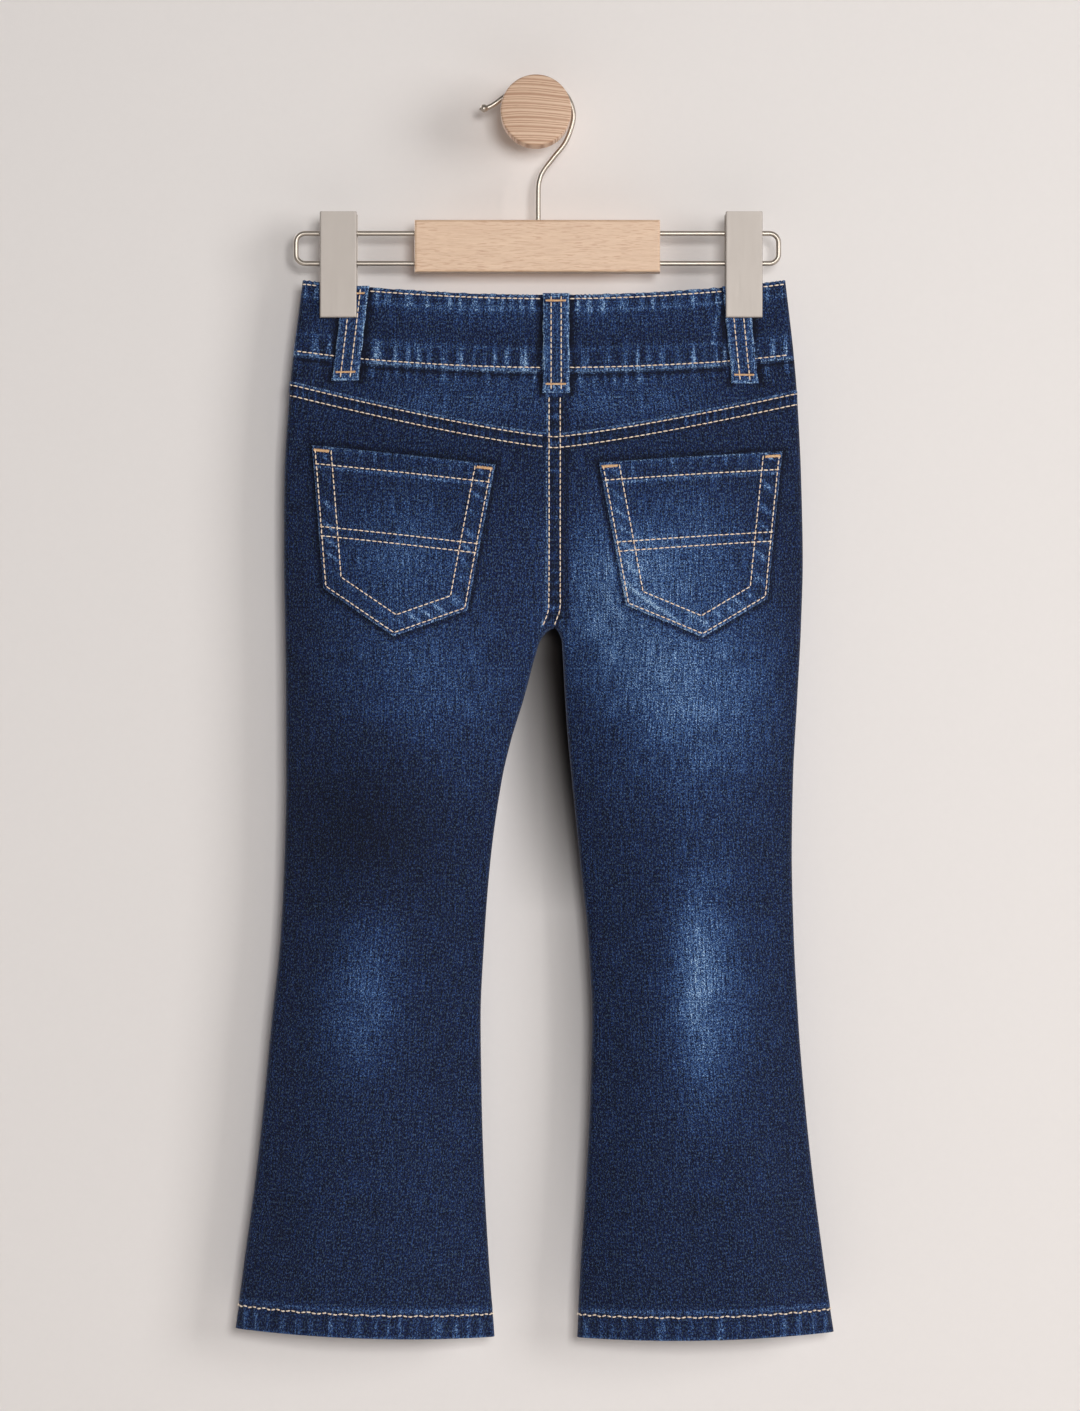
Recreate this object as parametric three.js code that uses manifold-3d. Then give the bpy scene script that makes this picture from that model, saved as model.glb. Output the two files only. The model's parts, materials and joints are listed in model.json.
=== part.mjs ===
// A child's flared jeans, held by a clip hanger that hangs from a round wooden wall peg.
// Millimetres, +Z up. The wall is the plane y = 0, and everything stands in front of it, towards -Y.
// The back of the jeans faces -Y. Left and right are the wearer's, so left is towards -X.
// The origin is the centre of the peg's flat face, where it meets the wall.
import * as THREE from "three";
import { mergeVertices } from "three/addons/utils/BufferGeometryUtils.js";
import Module from "manifold-3d";

const wasm = await Module();
wasm.setup();

// Thicknesses and gaps of the cloth
const DENIM = 1.2;
const WAISTBAND = 1.9;
const HEM = { height: 13.8, thick: 2.6, fade: -560 };
const PATCH = { thick: 1.5, rows: 8, columns: 10 };
const LOOP = { width: 14.4, thick: 1.6, arch: 0.5, rows: 6, columns: 2 };
const PIECE_GAP = 0.3;

// Where the cloth hangs
const HANG_Y = -28;
const CENTRE_X = 10;
const CROTCH = { z: -282.4, arch: 9, rise: 100, stretch: 40 };
const PINCH = { reach: 22, full: -116, none: -188 };

// Outer and inner seams lie this far round the folds, towards the front. The inner one gets there over a
// run below the crotch. Seam gaps are measured this far inside the folds.
const SEAM_TURN = THREE.MathUtils.degToRad(35);
const INSEAM_RUN = 25;
const SEAM_INSIDE = 2;

// How finely an outline is worked out before the grids take their points from it
const FAN_STEPS = 10;
const FACE_STEPS = 60;

// Rows and columns of the grids
const HALF_COLUMNS = 13;
const LEG_COLUMNS = 14;
const BAND_ROWS = 3;
const ROWS_ABOVE_CROTCH = [1, 0.8, 0.6, 0.42, 0.27, 0.15, 0.07, 0.03, 0.008];
const ROWS_BELOW_CROTCH = [0, 0.004, 0.016, 0.04, 0.08, 0.14, 0.22, 0.32, 0.43, 0.55, 0.67, 0.79, 0.9, 1];

// Sections of the hanging cloth from waist to hem: the height, the outer folds on the wearer's left and
// right, how far the back and front faces stand from the hanging plane, and the radius of the folds.
const SECTIONS = [
  { z: -90, left: -128.2, right: 137.0, back: 8.5, front: 7.5, fold: 3.4 },
  { z: -112, left: -131.0, right: 139.6, back: 9.5, front: 8.5, fold: 3.4 },
  { z: -134, left: -133.8, right: 142.0, back: 13, front: 11, fold: 3.6 },
  { z: -157, left: -136.0, right: 143.8, back: 17, front: 14, fold: 4.2 },
  { z: -200, left: -138.4, right: 145.8, back: 21, front: 16, fold: 5 },
  { z: -245, left: -138.6, right: 146.8, back: 22.5, front: 16.5, fold: 5 },
  { z: -282, left: -138.0, right: 145.7, back: 21, front: 16, fold: 5 },
  { z: -321, left: -137.5, right: 143.6, back: 19.5, front: 16, fold: 5 },
  { z: -365, left: -137.3, right: 141.4, back: 18.5, front: 15.5, fold: 5 },
  { z: -409, left: -138.4, right: 140.7, back: 18, front: 15, fold: 5 },
  { z: -453, left: -140.6, right: 141.6, back: 17.5, front: 15, fold: 5 },
  { z: -497, left: -145.0, right: 144.0, back: 17.5, front: 15, fold: 5 },
  { z: -541, left: -149.4, right: 147.8, back: 18.5, front: 15.5, fold: 5 },
  { z: -585, left: -154.4, right: 152.4, back: 19.5, front: 16.5, fold: 5 },
  { z: -629, left: -160.4, right: 158.0, back: 20.5, front: 17, fold: 5 },
  { z: -672, left: -165.8, right: 164.2, back: 21.5, front: 17.5, fold: 5 },
];

// Inner folds of the two legs, from the crotch down to the hem
const INNER_FOLDS = [
  { z: -282.4, left: 4.2, right: 13.8 },
  { z: -300, left: -1.1, right: 14.8 },
  { z: -321, left: -6.8, right: 16.0 },
  { z: -343, left: -13.6, right: 17.6 },
  { z: -365, left: -18.7, right: 19.7 },
  { z: -409, left: -24.8, right: 24.0 },
  { z: -453, left: -28.3, right: 28.6 },
  { z: -497, left: -30.4, right: 30.8 },
  { z: -541, left: -29.8, right: 29.7 },
  { z: -585, left: -28.4, right: 27.5 },
  { z: -629, left: -26.1, right: 24.8 },
  { z: -672, left: -22.8, right: 22.6 },
];

// Lines that run round the body: their heights at the left fold, the centre and the right fold, and how
// sharply they turn at the centre (2 is a smooth curve, 1 a V)
const BACK_TOP = { left: -90.5, centre: -99.3, right: -90.5, power: 2 };
const BACK_BAND_SEAM = { left: -131.9, centre: -142.3, right: -134.0, power: 2 };
const YOKE_SEAM = { left: -147.9, centre: -178.4, right: -153.1, power: 1.25 };
const FRONT_TOP = { left: -90.5, centre: -116.5, right: -90.5, power: 2 };
const FRONT_BAND_SEAM = { left: -131.9, centre: -156.5, right: -134.0, power: 2 };
const HEM_LINE = { left: -666.5, centre: -671.5, right: -668.5, power: 1.6 };

// Back pockets: the ends of the mouth, the two lower corners and the point, from left to right
const BACK_POCKETS = {
  left: {
    mouth: [{ x: -122.6, z: -181.8 }, { x: -22.0, z: -193.3 }],
    foot: [{ x: -116.0, z: -260.4 }, { x: -77.5, z: -286.8 }, { x: -37.4, z: -272.5 }],
  },
  right: {
    mouth: [{ x: 34.1, z: -192.2 }, { x: 134.7, z: -185.1 }],
    foot: [{ x: 49.0, z: -269.8 }, { x: 90.7, z: -287.4 }, { x: 126.5, z: -265.9 }],
  },
};

// Belt loops: the middle of the upper and lower ends
const BELT_LOOPS = [
  { name: "belt_loop_back_centre", face: "back", top: { x: 11.0, z: -98.7 }, foot: { x: 11.0, z: -154.0 } },
  { name: "belt_loop_back_left", face: "back", top: { x: -98.7, z: -94.2 }, foot: { x: -104.6, z: -146.4 } },
  { name: "belt_loop_back_right", face: "back", top: { x: 109.6, z: -94.4 }, foot: { x: 114.6, z: -148.0 } },
  { name: "belt_loop_front_left", face: "front", top: { x: -58, z: -108.5 }, foot: { x: -60, z: -157 } },
  { name: "belt_loop_front_right", face: "front", top: { x: 78, z: -108.5 }, foot: { x: 80, z: -157 } },
];
const BUTTON = { x: -2, z: -137, radius: 8, height: 3, stand: 0.9 };

// Hanger and peg
const HANGER_X = 0.7;
const WIRE = { radius: 1.4, sides: 8, hole: 1.85, bury: 12 };
const BLOCK = { width: 134.8, top: -58.0, bottom: -86.6, depth: 12, edge: 1.2 };
const RAIL = { top: -64.9, bottom: -81.4, reach: 132.7, corner: 5 };
const CLIP = { left: -108.4, right: 114.1, width: 20.2, top: -53.6, bottom: -111.9, inside: 6.5, metal: 1.2 };
const JAW = { back: 6.1, front: 4.3, height: 3.4 };
const SPRING = { radius: 6.2, length: 12, coils: 6, groove: 0.5 };
const HOOK = { x: 0.8, z: -0.8, radius: 19.8, from: -2, to: 132, tip: 2.3 };
const HOOK_STEM = [
  { x: 1.2, z: -46 },
  { x: 1.5, z: -37.5 },
  { x: 3.4, z: -31.6 },
  { x: 9.5, z: -23.4 },
  { x: 16.4, z: -14.4 },
];
const HOOK_END = [
  { x: -18.4, z: 9.7 },
  { x: -22.6, z: 6.5 },
  { x: -26.4, z: 4.4 },
  { x: -29.3, z: 3.8 },
];
const PEG = { neck: 17, head: 19.3, groove: -33, seat: -25, foot: 12.6, face: -50, edge: 1.4, sides: 40 };

const COLOUR = {
  denim: { color: 0x22345e, roughness: 0.92, metalness: 0 },
  beech: { color: 0xddb990, roughness: 0.6, metalness: 0 },
  nickel: { color: 0xb9b4aa, roughness: 0.38, metalness: 1 },
  brass: { color: 0xa98b5a, roughness: 0.4, metalness: 1 },
};

const group = new THREE.Group();

function addPiece(name, geometry, finish) {
  const mesh = new THREE.Mesh(geometry, new THREE.MeshStandardMaterial(COLOUR[finish]));
  mesh.name = name;
  group.add(mesh);
  return mesh;
}

// Reads one column of a table at a height, with a smooth curve that never overshoots its rows
function readTable(table, column, z) {
  const last = table.length - 1;
  if (z >= table[0].z) return table[0][column];
  if (z <= table[last].z) return table[last][column];
  const slope = (i) => (table[i + 1][column] - table[i][column]) / (table[i + 1].z - table[i].z);
  const tangent = (i) => {
    if (i === 0) return slope(0);
    if (i === last) return slope(last - 1);
    const before = slope(i - 1);
    const after = slope(i);
    return before * after <= 0 ? 0 : (2 * before * after) / (before + after);
  };
  const i = table.findIndex((row, k) => k < last && table[k + 1].z <= z);
  const run = table[i + 1].z - table[i].z;
  const s = (z - table[i].z) / run;
  const from = table[i][column];
  const to = table[i + 1][column];
  const blend = s * s * (3 - 2 * s);
  const easeIn = s * (1 - s) * (1 - s) * run * tangent(i);
  const easeOut = s * s * (s - 1) * run * tangent(i + 1);
  return from + (to - from) * blend + easeIn + easeOut;
}

const smooth = (value, from, to) => THREE.MathUtils.smoothstep(value, from, to);

// Height of a body line at x
function lineAt(line, x) {
  const side = x < CENTRE_X ? "left" : "right";
  const edge = readTable(SECTIONS, side, line.centre);
  const share = Math.min(1, Math.abs((x - CENTRE_X) / (edge - CENTRE_X)));
  return line.centre + (line[side] - line.centre) * Math.pow(share, line.power);
}

// How hard the two clips press the faces together, from 0 to 1
function pinch(x, z) {
  const fade = smooth(z, PINCH.none, PINCH.full);
  const near = (clip) => Math.exp(-Math.pow((x - clip) / PINCH.reach, 2));
  return fade * Math.max(near(CLIP.left), near(CLIP.right));
}

// Half of one face at one height, as a flat lens: the cloth is its outline, moved out by the fold radius.
// The lens ends at "inner". Above the crotch that end runs past the centre, until one lens spans the body.
// Close to the crotch the cloth goes on to "tip", where the arch between the legs rounds off.
function lensOf(side, face, z) {
  const sign = side === "left" ? 1 : -1;
  const fold = readTable(SECTIONS, "fold", z);
  const depth = readTable(SECTIONS, face, z) - fold;
  const outer = readTable(SECTIONS, side, z) + sign * fold;
  const above = z - CROTCH.z;
  let inner = readTable(INNER_FOLDS, side, z) - sign * fold;
  let tip;
  if (above < 0) {
    const q = Math.max(0, 1 + above / CROTCH.arch);
    tip = CENTRE_X + (inner + sign * fold - CENTRE_X) * Math.sqrt(1 - q * q) - sign * fold;
  } else {
    inner += (2 * CENTRE_X - outer - inner) * smooth(above, 0, CROTCH.rise);
    const past = Math.max(sign * (inner - CENTRE_X), Math.min(0, above - fold));
    tip = CENTRE_X + sign * past;
  }
  const half = Math.abs(inner - outer) / 2;
  return { sign, fold, depth, outer, inner, tip, half, middle: (outer + inner) / 2 };
}

// Distance of the lens from the hanging plane, stretched a little where the cloth goes on to the tip
function lensHeight(lens, x, z) {
  const from = lens.inner - lens.sign * CROTCH.stretch;
  const s = THREE.MathUtils.clamp((x - from) / (lens.tip - from), 0, 1);
  const unstretched = x - (lens.tip - lens.inner) * s * s;
  const t = THREE.MathUtils.clamp((unstretched - lens.middle) / lens.half, -1, 1);
  return lens.depth * (1 - t * t) * (1 - pinch(x, z));
}

function lensPoint(lens, x, z) {
  const step = 0.05;
  const low = Math.max(Math.min(lens.outer, lens.tip), x - step);
  const high = Math.min(Math.max(lens.outer, lens.tip), x + step);
  const slope = (lensHeight(lens, high, z) - lensHeight(lens, low, z)) / (high - low);
  const length = Math.hypot(1, slope);
  return { x: x - (lens.fold * slope) / length, out: lensHeight(lens, x, z) + lens.fold / length, slope };
}

// Outline of half a face at one height: from the outseam over the outer fold and across the face, then up
// to the centre seam, or round the inner fold to the inseam. "out" is the distance from the hanging plane.
function halfOutline(side, face, z, edgeGap) {
  const lens = lensOf(side, face, z);
  const { sign, fold, outer, tip } = lens;
  const towards = face === "back" ? 1 : -1;
  const seamAngle = PIECE_GAP / 2 / (fold - SEAM_INSIDE);
  const tilt = (x) => Math.PI / 2 - Math.atan(Math.abs(lensPoint(lens, x, z).slope));
  const points = [];
  const fan = (middle, reach, from, to) => {
    for (let i = 0; i <= FAN_STEPS; i++) {
      const angle = from + ((to - from) * i) / FAN_STEPS;
      points.push({ x: middle + reach * Math.cos(angle), out: fold * Math.sin(angle) });
    }
  };
  fan(outer, -sign * fold, -towards * SEAM_TURN + seamAngle, tilt(outer));
  for (let i = 1; i < FACE_STEPS; i++)
    points.push(lensPoint(lens, outer + ((tip - outer) * i) / FACE_STEPS, z));
  const turned = SEAM_TURN * smooth(CROTCH.z - z, 0, INSEAM_RUN);
  fan(tip, sign * fold, tilt(tip), -towards * turned + seamAngle);
  return cutAtCentre(points, sign, edgeGap);
}

// Keeps what lies on this side of the centre seam
function cutAtCentre(points, sign, edgeGap) {
  const limit = CENTRE_X - sign * edgeGap;
  const cut = points.findIndex((p) => sign * (p.x - limit) > 0);
  if (cut < 1) return points;
  const before = points[cut - 1];
  const share = (limit - before.x) / (points[cut].x - before.x);
  const end = { x: limit, out: before.out + (points[cut].out - before.out) * share };
  return [...points.slice(0, cut), end];
}

// The point at a share of an outline's length
function alongOutline(points, share) {
  const lengths = [0];
  for (let i = 1; i < points.length; i++) {
    const step = Math.hypot(points[i].x - points[i - 1].x, points[i].out - points[i - 1].out);
    lengths.push(lengths[i - 1] + step);
  }
  const target = share * lengths[lengths.length - 1];
  const i = Math.max(1, lengths.findIndex((length) => length >= target - 1e-9));
  const span = lengths[i] - lengths[i - 1];
  const s = span > 0 ? (target - lengths[i - 1]) / span : 0;
  const mix = (key) => points[i - 1][key] + (points[i][key] - points[i - 1][key]) * s;
  return { x: mix("x"), out: mix("out") };
}

const outwards = (face) => (face === "back" ? -1 : 1);

// Shares of a width, closer together at both ends, where the cloth folds over
function crowded(count) {
  return Array.from({ length: count + 1 }, (_, j) => 0.5 - 0.5 * Math.cos((Math.PI * j) / count));
}

// A row of points across half a face, at the height that heightAt gives for each x
function halfRow(side, face, heightAt, columns, edgeGap) {
  return crowded(columns).map((share) => {
    let z = heightAt(CENTRE_X);
    let point;
    for (let i = 0; i < 5; i++) {
      point = alongOutline(halfOutline(side, face, z, edgeGap), share);
      z = heightAt(point.x);
    }
    return new THREE.Vector3(point.x, HANG_Y + outwards(face) * point.out, z);
  });
}

// A point of the cloth's outer skin at x and z, moved out by a distance
function skinAt(face, x, z, distance) {
  const lens = lensOf(x < CENTRE_X ? "left" : "right", face, z);
  let foot = x;
  for (let i = 0; i < 8; i++) foot += x - lensPoint(lens, foot, z).x;
  const point = lensPoint(lens, foot, z);
  const length = Math.hypot(1, point.slope);
  const y = HANG_Y + outwards(face) * (point.out + distance / length);
  return new THREE.Vector3(x - (distance * point.slope) / length, y, z);
}

// Change of position at step k of a line of points, from its neighbours
function stepAt(at, k, last) {
  const step = new THREE.Vector3();
  const add = (j, weight) => step.addScaledVector(at(j), weight);
  if (k === 0) return add(0, -3) && add(1, 4) && add(2, -1);
  if (k === last) return add(last, 3) && add(last - 1, -4) && add(last - 2, 1);
  return add(k + 1, 1) && add(k - 1, -1);
}

// Outward directions at the points of a grid on one face
function gridNormals(grid, face) {
  const lastRow = grid.length - 1;
  const lastColumn = grid[0].length - 1;
  const normals = grid.map((row, i) =>
    row.map((_, j) => {
      const across = stepAt((k) => row[k], j, lastColumn);
      const along = stepAt((k) => grid[k][j], i, lastRow);
      return across.cross(along).normalize();
    }),
  );
  const middle = normals[lastRow >> 1][lastColumn >> 1];
  const flip = middle.y * outwards(face) < 0 ? -1 : 1;
  normals.flat().forEach((normal) => normal.multiplyScalar(flip));
  return normals;
}

// A closed wall from a grid of outer points and the same grid of inner points
function closedWall(outer, inner) {
  const rows = outer.length;
  const columns = outer[0].length;
  const positions = [...outer.flat(), ...inner.flat()].flatMap((p) => [p.x, p.y, p.z]);
  const at = (i, j) => i * columns + j;
  const under = (i, j) => rows * columns + i * columns + j;
  const faces = [];
  const quad = (a, b, c, d) => faces.push(a, b, c, a, c, d);
  for (let i = 0; i + 1 < rows; i++)
    for (let j = 0; j + 1 < columns; j++) {
      quad(at(i, j), at(i + 1, j), at(i + 1, j + 1), at(i, j + 1));
      quad(under(i, j), under(i, j + 1), under(i + 1, j + 1), under(i + 1, j));
    }
  for (let i = 0; i + 1 < rows; i++) {
    quad(at(i, 0), under(i, 0), under(i + 1, 0), at(i + 1, 0));
    quad(at(i + 1, columns - 1), under(i + 1, columns - 1), under(i, columns - 1), at(i, columns - 1));
  }
  for (let j = 0; j + 1 < columns; j++) {
    quad(at(0, j + 1), under(0, j + 1), under(0, j), at(0, j));
    quad(at(rows - 1, j), under(rows - 1, j), under(rows - 1, j + 1), at(rows - 1, j + 1));
  }
  return facingOut(positions, faces);
}

// A geometry whose triangles all face out
function facingOut(positions, faces) {
  const point = (i) => new THREE.Vector3().fromArray(positions, 3 * i);
  let volume = 0;
  for (let i = 0; i < faces.length; i += 3)
    volume += point(faces[i]).dot(point(faces[i + 1]).cross(point(faces[i + 2])));
  if (volume < 0) faces.reverse();
  const geometry = new THREE.BufferGeometry();
  geometry.setAttribute("position", new THREE.Float32BufferAttribute(positions, 3));
  geometry.setIndex(faces);
  geometry.computeVertexNormals();
  return geometry;
}

// A sewn piece: its outer grid, and inside it the same grid moved in by the thickness of each row
function addCloth(name, face, grid, thickness) {
  const normals = gridNormals(grid, face);
  const moved = (point, i, j) => point.clone().addScaledVector(normals[i][j], -thickness(i));
  const inner = grid.map((row, i) => row.map((point, j) => moved(point, i, j)));
  addPiece(name, closedWall(grid, inner), "denim");
}

const between = (upper, lower, share) => (x) => {
  const top = lineAt(upper, x) - PIECE_GAP / 2;
  const foot = lineAt(lower, x) + PIECE_GAP / 2;
  return top + (foot - top) * share;
};

// Shares from 0 to 1 in equal steps
const evenly = (steps) => Array.from({ length: steps + 1 }, (_, i) => i / steps);

function addWaistband() {
  const rows = evenly(BAND_ROWS);
  const back = rows.map((share) => {
    const heightAt = between(BACK_TOP, BACK_BAND_SEAM, share);
    const left = halfRow("left", "back", heightAt, HALF_COLUMNS, 0);
    const right = halfRow("right", "back", heightAt, HALF_COLUMNS, 0);
    return [...left, ...right.reverse().slice(1)];
  });
  addCloth("waistband_back", "back", back, () => WAISTBAND);
  for (const side of ["left", "right"]) {
    const front = rows.map((share) =>
      halfRow(side, "front", between(FRONT_TOP, FRONT_BAND_SEAM, share), HALF_COLUMNS, PIECE_GAP / 2),
    );
    addCloth(`waistband_front_${side}`, "front", front, () => WAISTBAND);
  }
}

function addYokes() {
  for (const side of ["left", "right"]) {
    const grid = evenly(BAND_ROWS).map((share) =>
      halfRow(side, "back", between(BACK_BAND_SEAM, YOKE_SEAM, share), HALF_COLUMNS, PIECE_GAP / 2),
    );
    addCloth(`yoke_${side}`, "back", grid, () => DENIM);
  }
}

// Heights of a leg panel's rows at the centre, closer together at the crotch, and at the hem's fold line
function panelHeights(top) {
  const hemTop = HEM_LINE.centre + HEM.height;
  const above = ROWS_ABOVE_CROTCH.map((share) => CROTCH.z + share * (top - CROTCH.z));
  const below = ROWS_BELOW_CROTCH.map((share) => CROTCH.z - share * (CROTCH.z - hemTop - PIECE_GAP));
  return [...above, ...below, hemTop, HEM_LINE.centre];
}

// Rows follow the piece's upper line at the top, run level at the crotch and follow the hem at the foot
const panelHeightAt = (upper, height) => (x) => {
  const top = upper.centre - PIECE_GAP / 2;
  const upperShare = THREE.MathUtils.clamp((height - CROTCH.z) / (top - CROTCH.z), 0, 1);
  const hemShare = THREE.MathUtils.clamp((HEM.fade - height) / (HEM.fade - HEM_LINE.centre), 0, 1);
  const upperBend = (lineAt(upper, x) - upper.centre) * upperShare;
  return height + upperBend + (lineAt(HEM_LINE, x) - HEM_LINE.centre) * hemShare;
};

function addLegPanels() {
  const panels = { back: YOKE_SEAM, front: FRONT_BAND_SEAM };
  for (const side of ["left", "right"])
    for (const [face, upper] of Object.entries(panels)) {
      const heights = panelHeights(upper.centre - PIECE_GAP / 2);
      const grid = heights.map((height) =>
        halfRow(side, face, panelHeightAt(upper, height), LEG_COLUMNS, PIECE_GAP / 2),
      );
      const hemRow = heights.length - 2;
      addCloth(`${face}_panel_${side}`, face, grid, (i) => (i < hemRow ? DENIM : HEM.thick));
    }
}

const mixPoints = (a, b, share) => ({ x: a.x + (b.x - a.x) * share, z: a.z + (b.z - a.z) * share });

// A flat piece sewn on a face: both of its skins are the face's own points, moved out
function addPatch(name, face, pointAt, rows, columns, lift, thickness) {
  const layer = (distance) =>
    evenly(rows).map((v) =>
      evenly(columns).map((u) => {
        const { x, z } = pointAt(u, v);
        return skinAt(face, x, z, distance + lift(v, x, z));
      }),
    );
  addPiece(name, closedWall(layer(PIECE_GAP + thickness), layer(PIECE_GAP)), "denim");
}

function addBackPockets() {
  for (const [side, { mouth, foot }] of Object.entries(BACK_POCKETS)) {
    const pointAt = (u, v) => {
      const lower = u < 0.5 ? mixPoints(foot[0], foot[1], 2 * u) : mixPoints(foot[1], foot[2], 2 * u - 1);
      return mixPoints(mixPoints(mouth[0], mouth[1], u), lower, v);
    };
    addPatch(`back_pocket_${side}`, "back", pointAt, PATCH.rows, PATCH.columns, () => 0, PATCH.thick);
  }
}

// Loops arch away from the waistband between their two sewn ends, but for what a clip presses down
function addBeltLoops() {
  for (const { name, face, top, foot } of BELT_LOOPS) {
    const pointAt = (u, v) => {
      const middle = mixPoints(top, foot, v);
      return { x: middle.x + (u - 0.5) * LOOP.width, z: middle.z };
    };
    const lift = (v, x, z) => LOOP.arch * Math.sin(Math.PI * v) * (1 - pinch(x, z));
    addPatch(name, face, pointAt, LOOP.rows, LOOP.columns, lift, LOOP.thick);
  }
}

function addButton() {
  const { radius, height } = BUTTON;
  const outline = [
    [0, 0],
    [radius * 0.55, 0],
    [radius * 0.55, height * 0.3],
    [radius, height * 0.35],
    [radius, height * 0.75],
    [radius * 0.9, height],
    [radius * 0.7, height * 0.9],
    [0, height * 0.85],
  ];
  const button = addPiece("waist_button", lathe(outline, 20), "brass");
  button.position.copy(skinAt("front", BUTTON.x, BUTTON.z, BUTTON.stand));
}

// A turned solid along +Y, from an outline of radius and height that starts and ends on the axis
function lathe(outline, sides) {
  return new THREE.LatheGeometry(outline.map(([radius, y]) => new THREE.Vector2(radius, y)), sides);
}

function wire(path, steps) {
  const section = new THREE.Shape();
  const { radius, sides } = WIRE;
  for (let i = 0; i < sides; i++) {
    const angle = (2 * Math.PI * (i + 0.5)) / sides;
    const corner = [radius * Math.cos(angle), radius * Math.sin(angle)];
    if (i === 0) section.moveTo(...corner);
    else section.lineTo(...corner);
  }
  return new THREE.ExtrudeGeometry(section, { extrudePath: path, steps, bevelEnabled: false });
}

function addBlock() {
  const { width, top, bottom, depth, edge } = BLOCK;
  const height = top - bottom;
  const outline = new THREE.Shape();
  const half = { x: width / 2 - edge, z: height / 2 - edge };
  outline.moveTo(-half.x, -half.z).lineTo(half.x, -half.z).lineTo(half.x, half.z).lineTo(-half.x, half.z);
  const bevel = { bevelEnabled: true, bevelThickness: edge, bevelSize: edge, bevelSegments: 2 };
  const body = new THREE.ExtrudeGeometry(outline, { depth: depth - 2 * edge, ...bevel });
  body.translate(0, 0, edge - depth / 2);
  body.rotateX(Math.PI / 2);
  body.translate(HANGER_X, HANG_Y, (top + bottom) / 2);
  const hole = (length) => new THREE.CylinderGeometry(WIRE.hole, WIRE.hole, length, 16);
  const deep = WIRE.bury + 1;
  let block = toSolid(body);
  for (const side of [-1, 1])
    for (const z of [RAIL.top, RAIL.bottom]) {
      const bore = hole(2 * deep).rotateZ(Math.PI / 2);
      bore.translate(HANGER_X + (side * width) / 2, HANG_Y, z);
      block = block.subtract(toSolid(bore));
    }
  const socket = hole(2 * deep).rotateX(Math.PI / 2).translate(HOOK_STEM[0].x, HANG_Y, top);
  addPiece("hanger_block", toGeometry(block.subtract(toSolid(socket))), "beech");
}

const inPlane = ({ x, z }) => new THREE.Vector3(x, HANG_Y, z);

// One wire bent into a U, with both ends in the block
function addRail(side, sign) {
  const inner = HANGER_X + sign * (BLOCK.width / 2 - WIRE.bury);
  const outer = HANGER_X + sign * RAIL.reach;
  const turn = outer - sign * RAIL.corner;
  const at = (x, z) => inPlane({ x, z });
  const path = new THREE.CurvePath();
  path.add(new THREE.LineCurve3(at(inner, RAIL.top), at(turn, RAIL.top)));
  const upper = [at(turn, RAIL.top), at(outer, RAIL.top), at(outer, RAIL.top - RAIL.corner)];
  path.add(new THREE.QuadraticBezierCurve3(...upper));
  path.add(new THREE.LineCurve3(upper[2], at(outer, RAIL.bottom + RAIL.corner)));
  const lower = [at(outer, RAIL.bottom + RAIL.corner), at(outer, RAIL.bottom), at(turn, RAIL.bottom)];
  path.add(new THREE.QuadraticBezierCurve3(...lower));
  path.add(new THREE.LineCurve3(at(turn, RAIL.bottom), at(inner, RAIL.bottom)));
  addPiece(`hanger_rail_${side}`, wire(path, 60), "nickel");
}

function addHook() {
  const { x, z, radius, from, to, tip } = HOOK;
  const stemX = HOOK_STEM[0].x;
  const root = [BLOCK.top - WIRE.bury, BLOCK.top].map((z) => ({ x: stemX, z }));
  const points = [...root, ...HOOK_STEM].map(inPlane);
  for (const share of evenly(8)) {
    const a = THREE.MathUtils.degToRad(from + (to - from) * share);
    points.push(inPlane({ x: x + radius * Math.cos(a), z: z + radius * Math.sin(a) }));
  }
  HOOK_END.forEach((point) => points.push(inPlane(point)));
  const path = new THREE.CatmullRomCurve3(points, false, "centripetal");
  const end = new THREE.SphereGeometry(tip, 12, 8);
  end.translate(...inPlane(HOOK_END[HOOK_END.length - 1]).toArray());
  const hook = toSolid(wire(path, 64)).add(toSolid(end));
  addPiece("hanger_hook", toGeometry(hook), "nickel");
}

// One half of a clip: a straight plate with a jaw at its foot that presses on the cloth
function clipHalf(face) {
  const { inside, metal, top, bottom, width } = CLIP;
  const profile = new THREE.Shape();
  profile.moveTo(inside, top).lineTo(inside + metal, top).lineTo(inside + metal, bottom);
  profile.lineTo(JAW[face], bottom).lineTo(JAW[face], bottom + JAW.height * 0.6);
  profile.lineTo(inside, bottom + JAW.height);
  const plate = new THREE.ExtrudeGeometry(profile, { depth: width, bevelEnabled: false });
  plate.translate(0, 0, -width / 2);
  plate.applyMatrix4(
    new THREE.Matrix4().makeBasis(
      new THREE.Vector3(0, outwards(face), 0),
      new THREE.Vector3(0, 0, 1),
      new THREE.Vector3(outwards(face), 0, 0),
    ),
  );
  return plate;
}

function addClip(side) {
  const middle = (RAIL.top + RAIL.bottom) / 2;
  for (const face of ["back", "front"])
    addPiece(`clip_${side}_${face}`, clipHalf(face), "nickel").position.set(CLIP[side], HANG_Y, 0);
  const { radius, length, coils, groove } = SPRING;
  const outline = [[0, -length / 2]];
  for (let i = 0; i < coils; i++) {
    const start = -length / 2 + (i * length) / coils;
    outline.push([radius - groove, start], [radius, start + (length * 0.5) / coils]);
  }
  outline.push([radius - groove, length / 2], [0, length / 2]);
  const spring = addPiece(`clip_${side}_spring`, lathe(outline, 20), "nickel");
  spring.rotation.z = Math.PI / 2;
  spring.position.set(CLIP[side], HANG_Y, middle);
}

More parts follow.
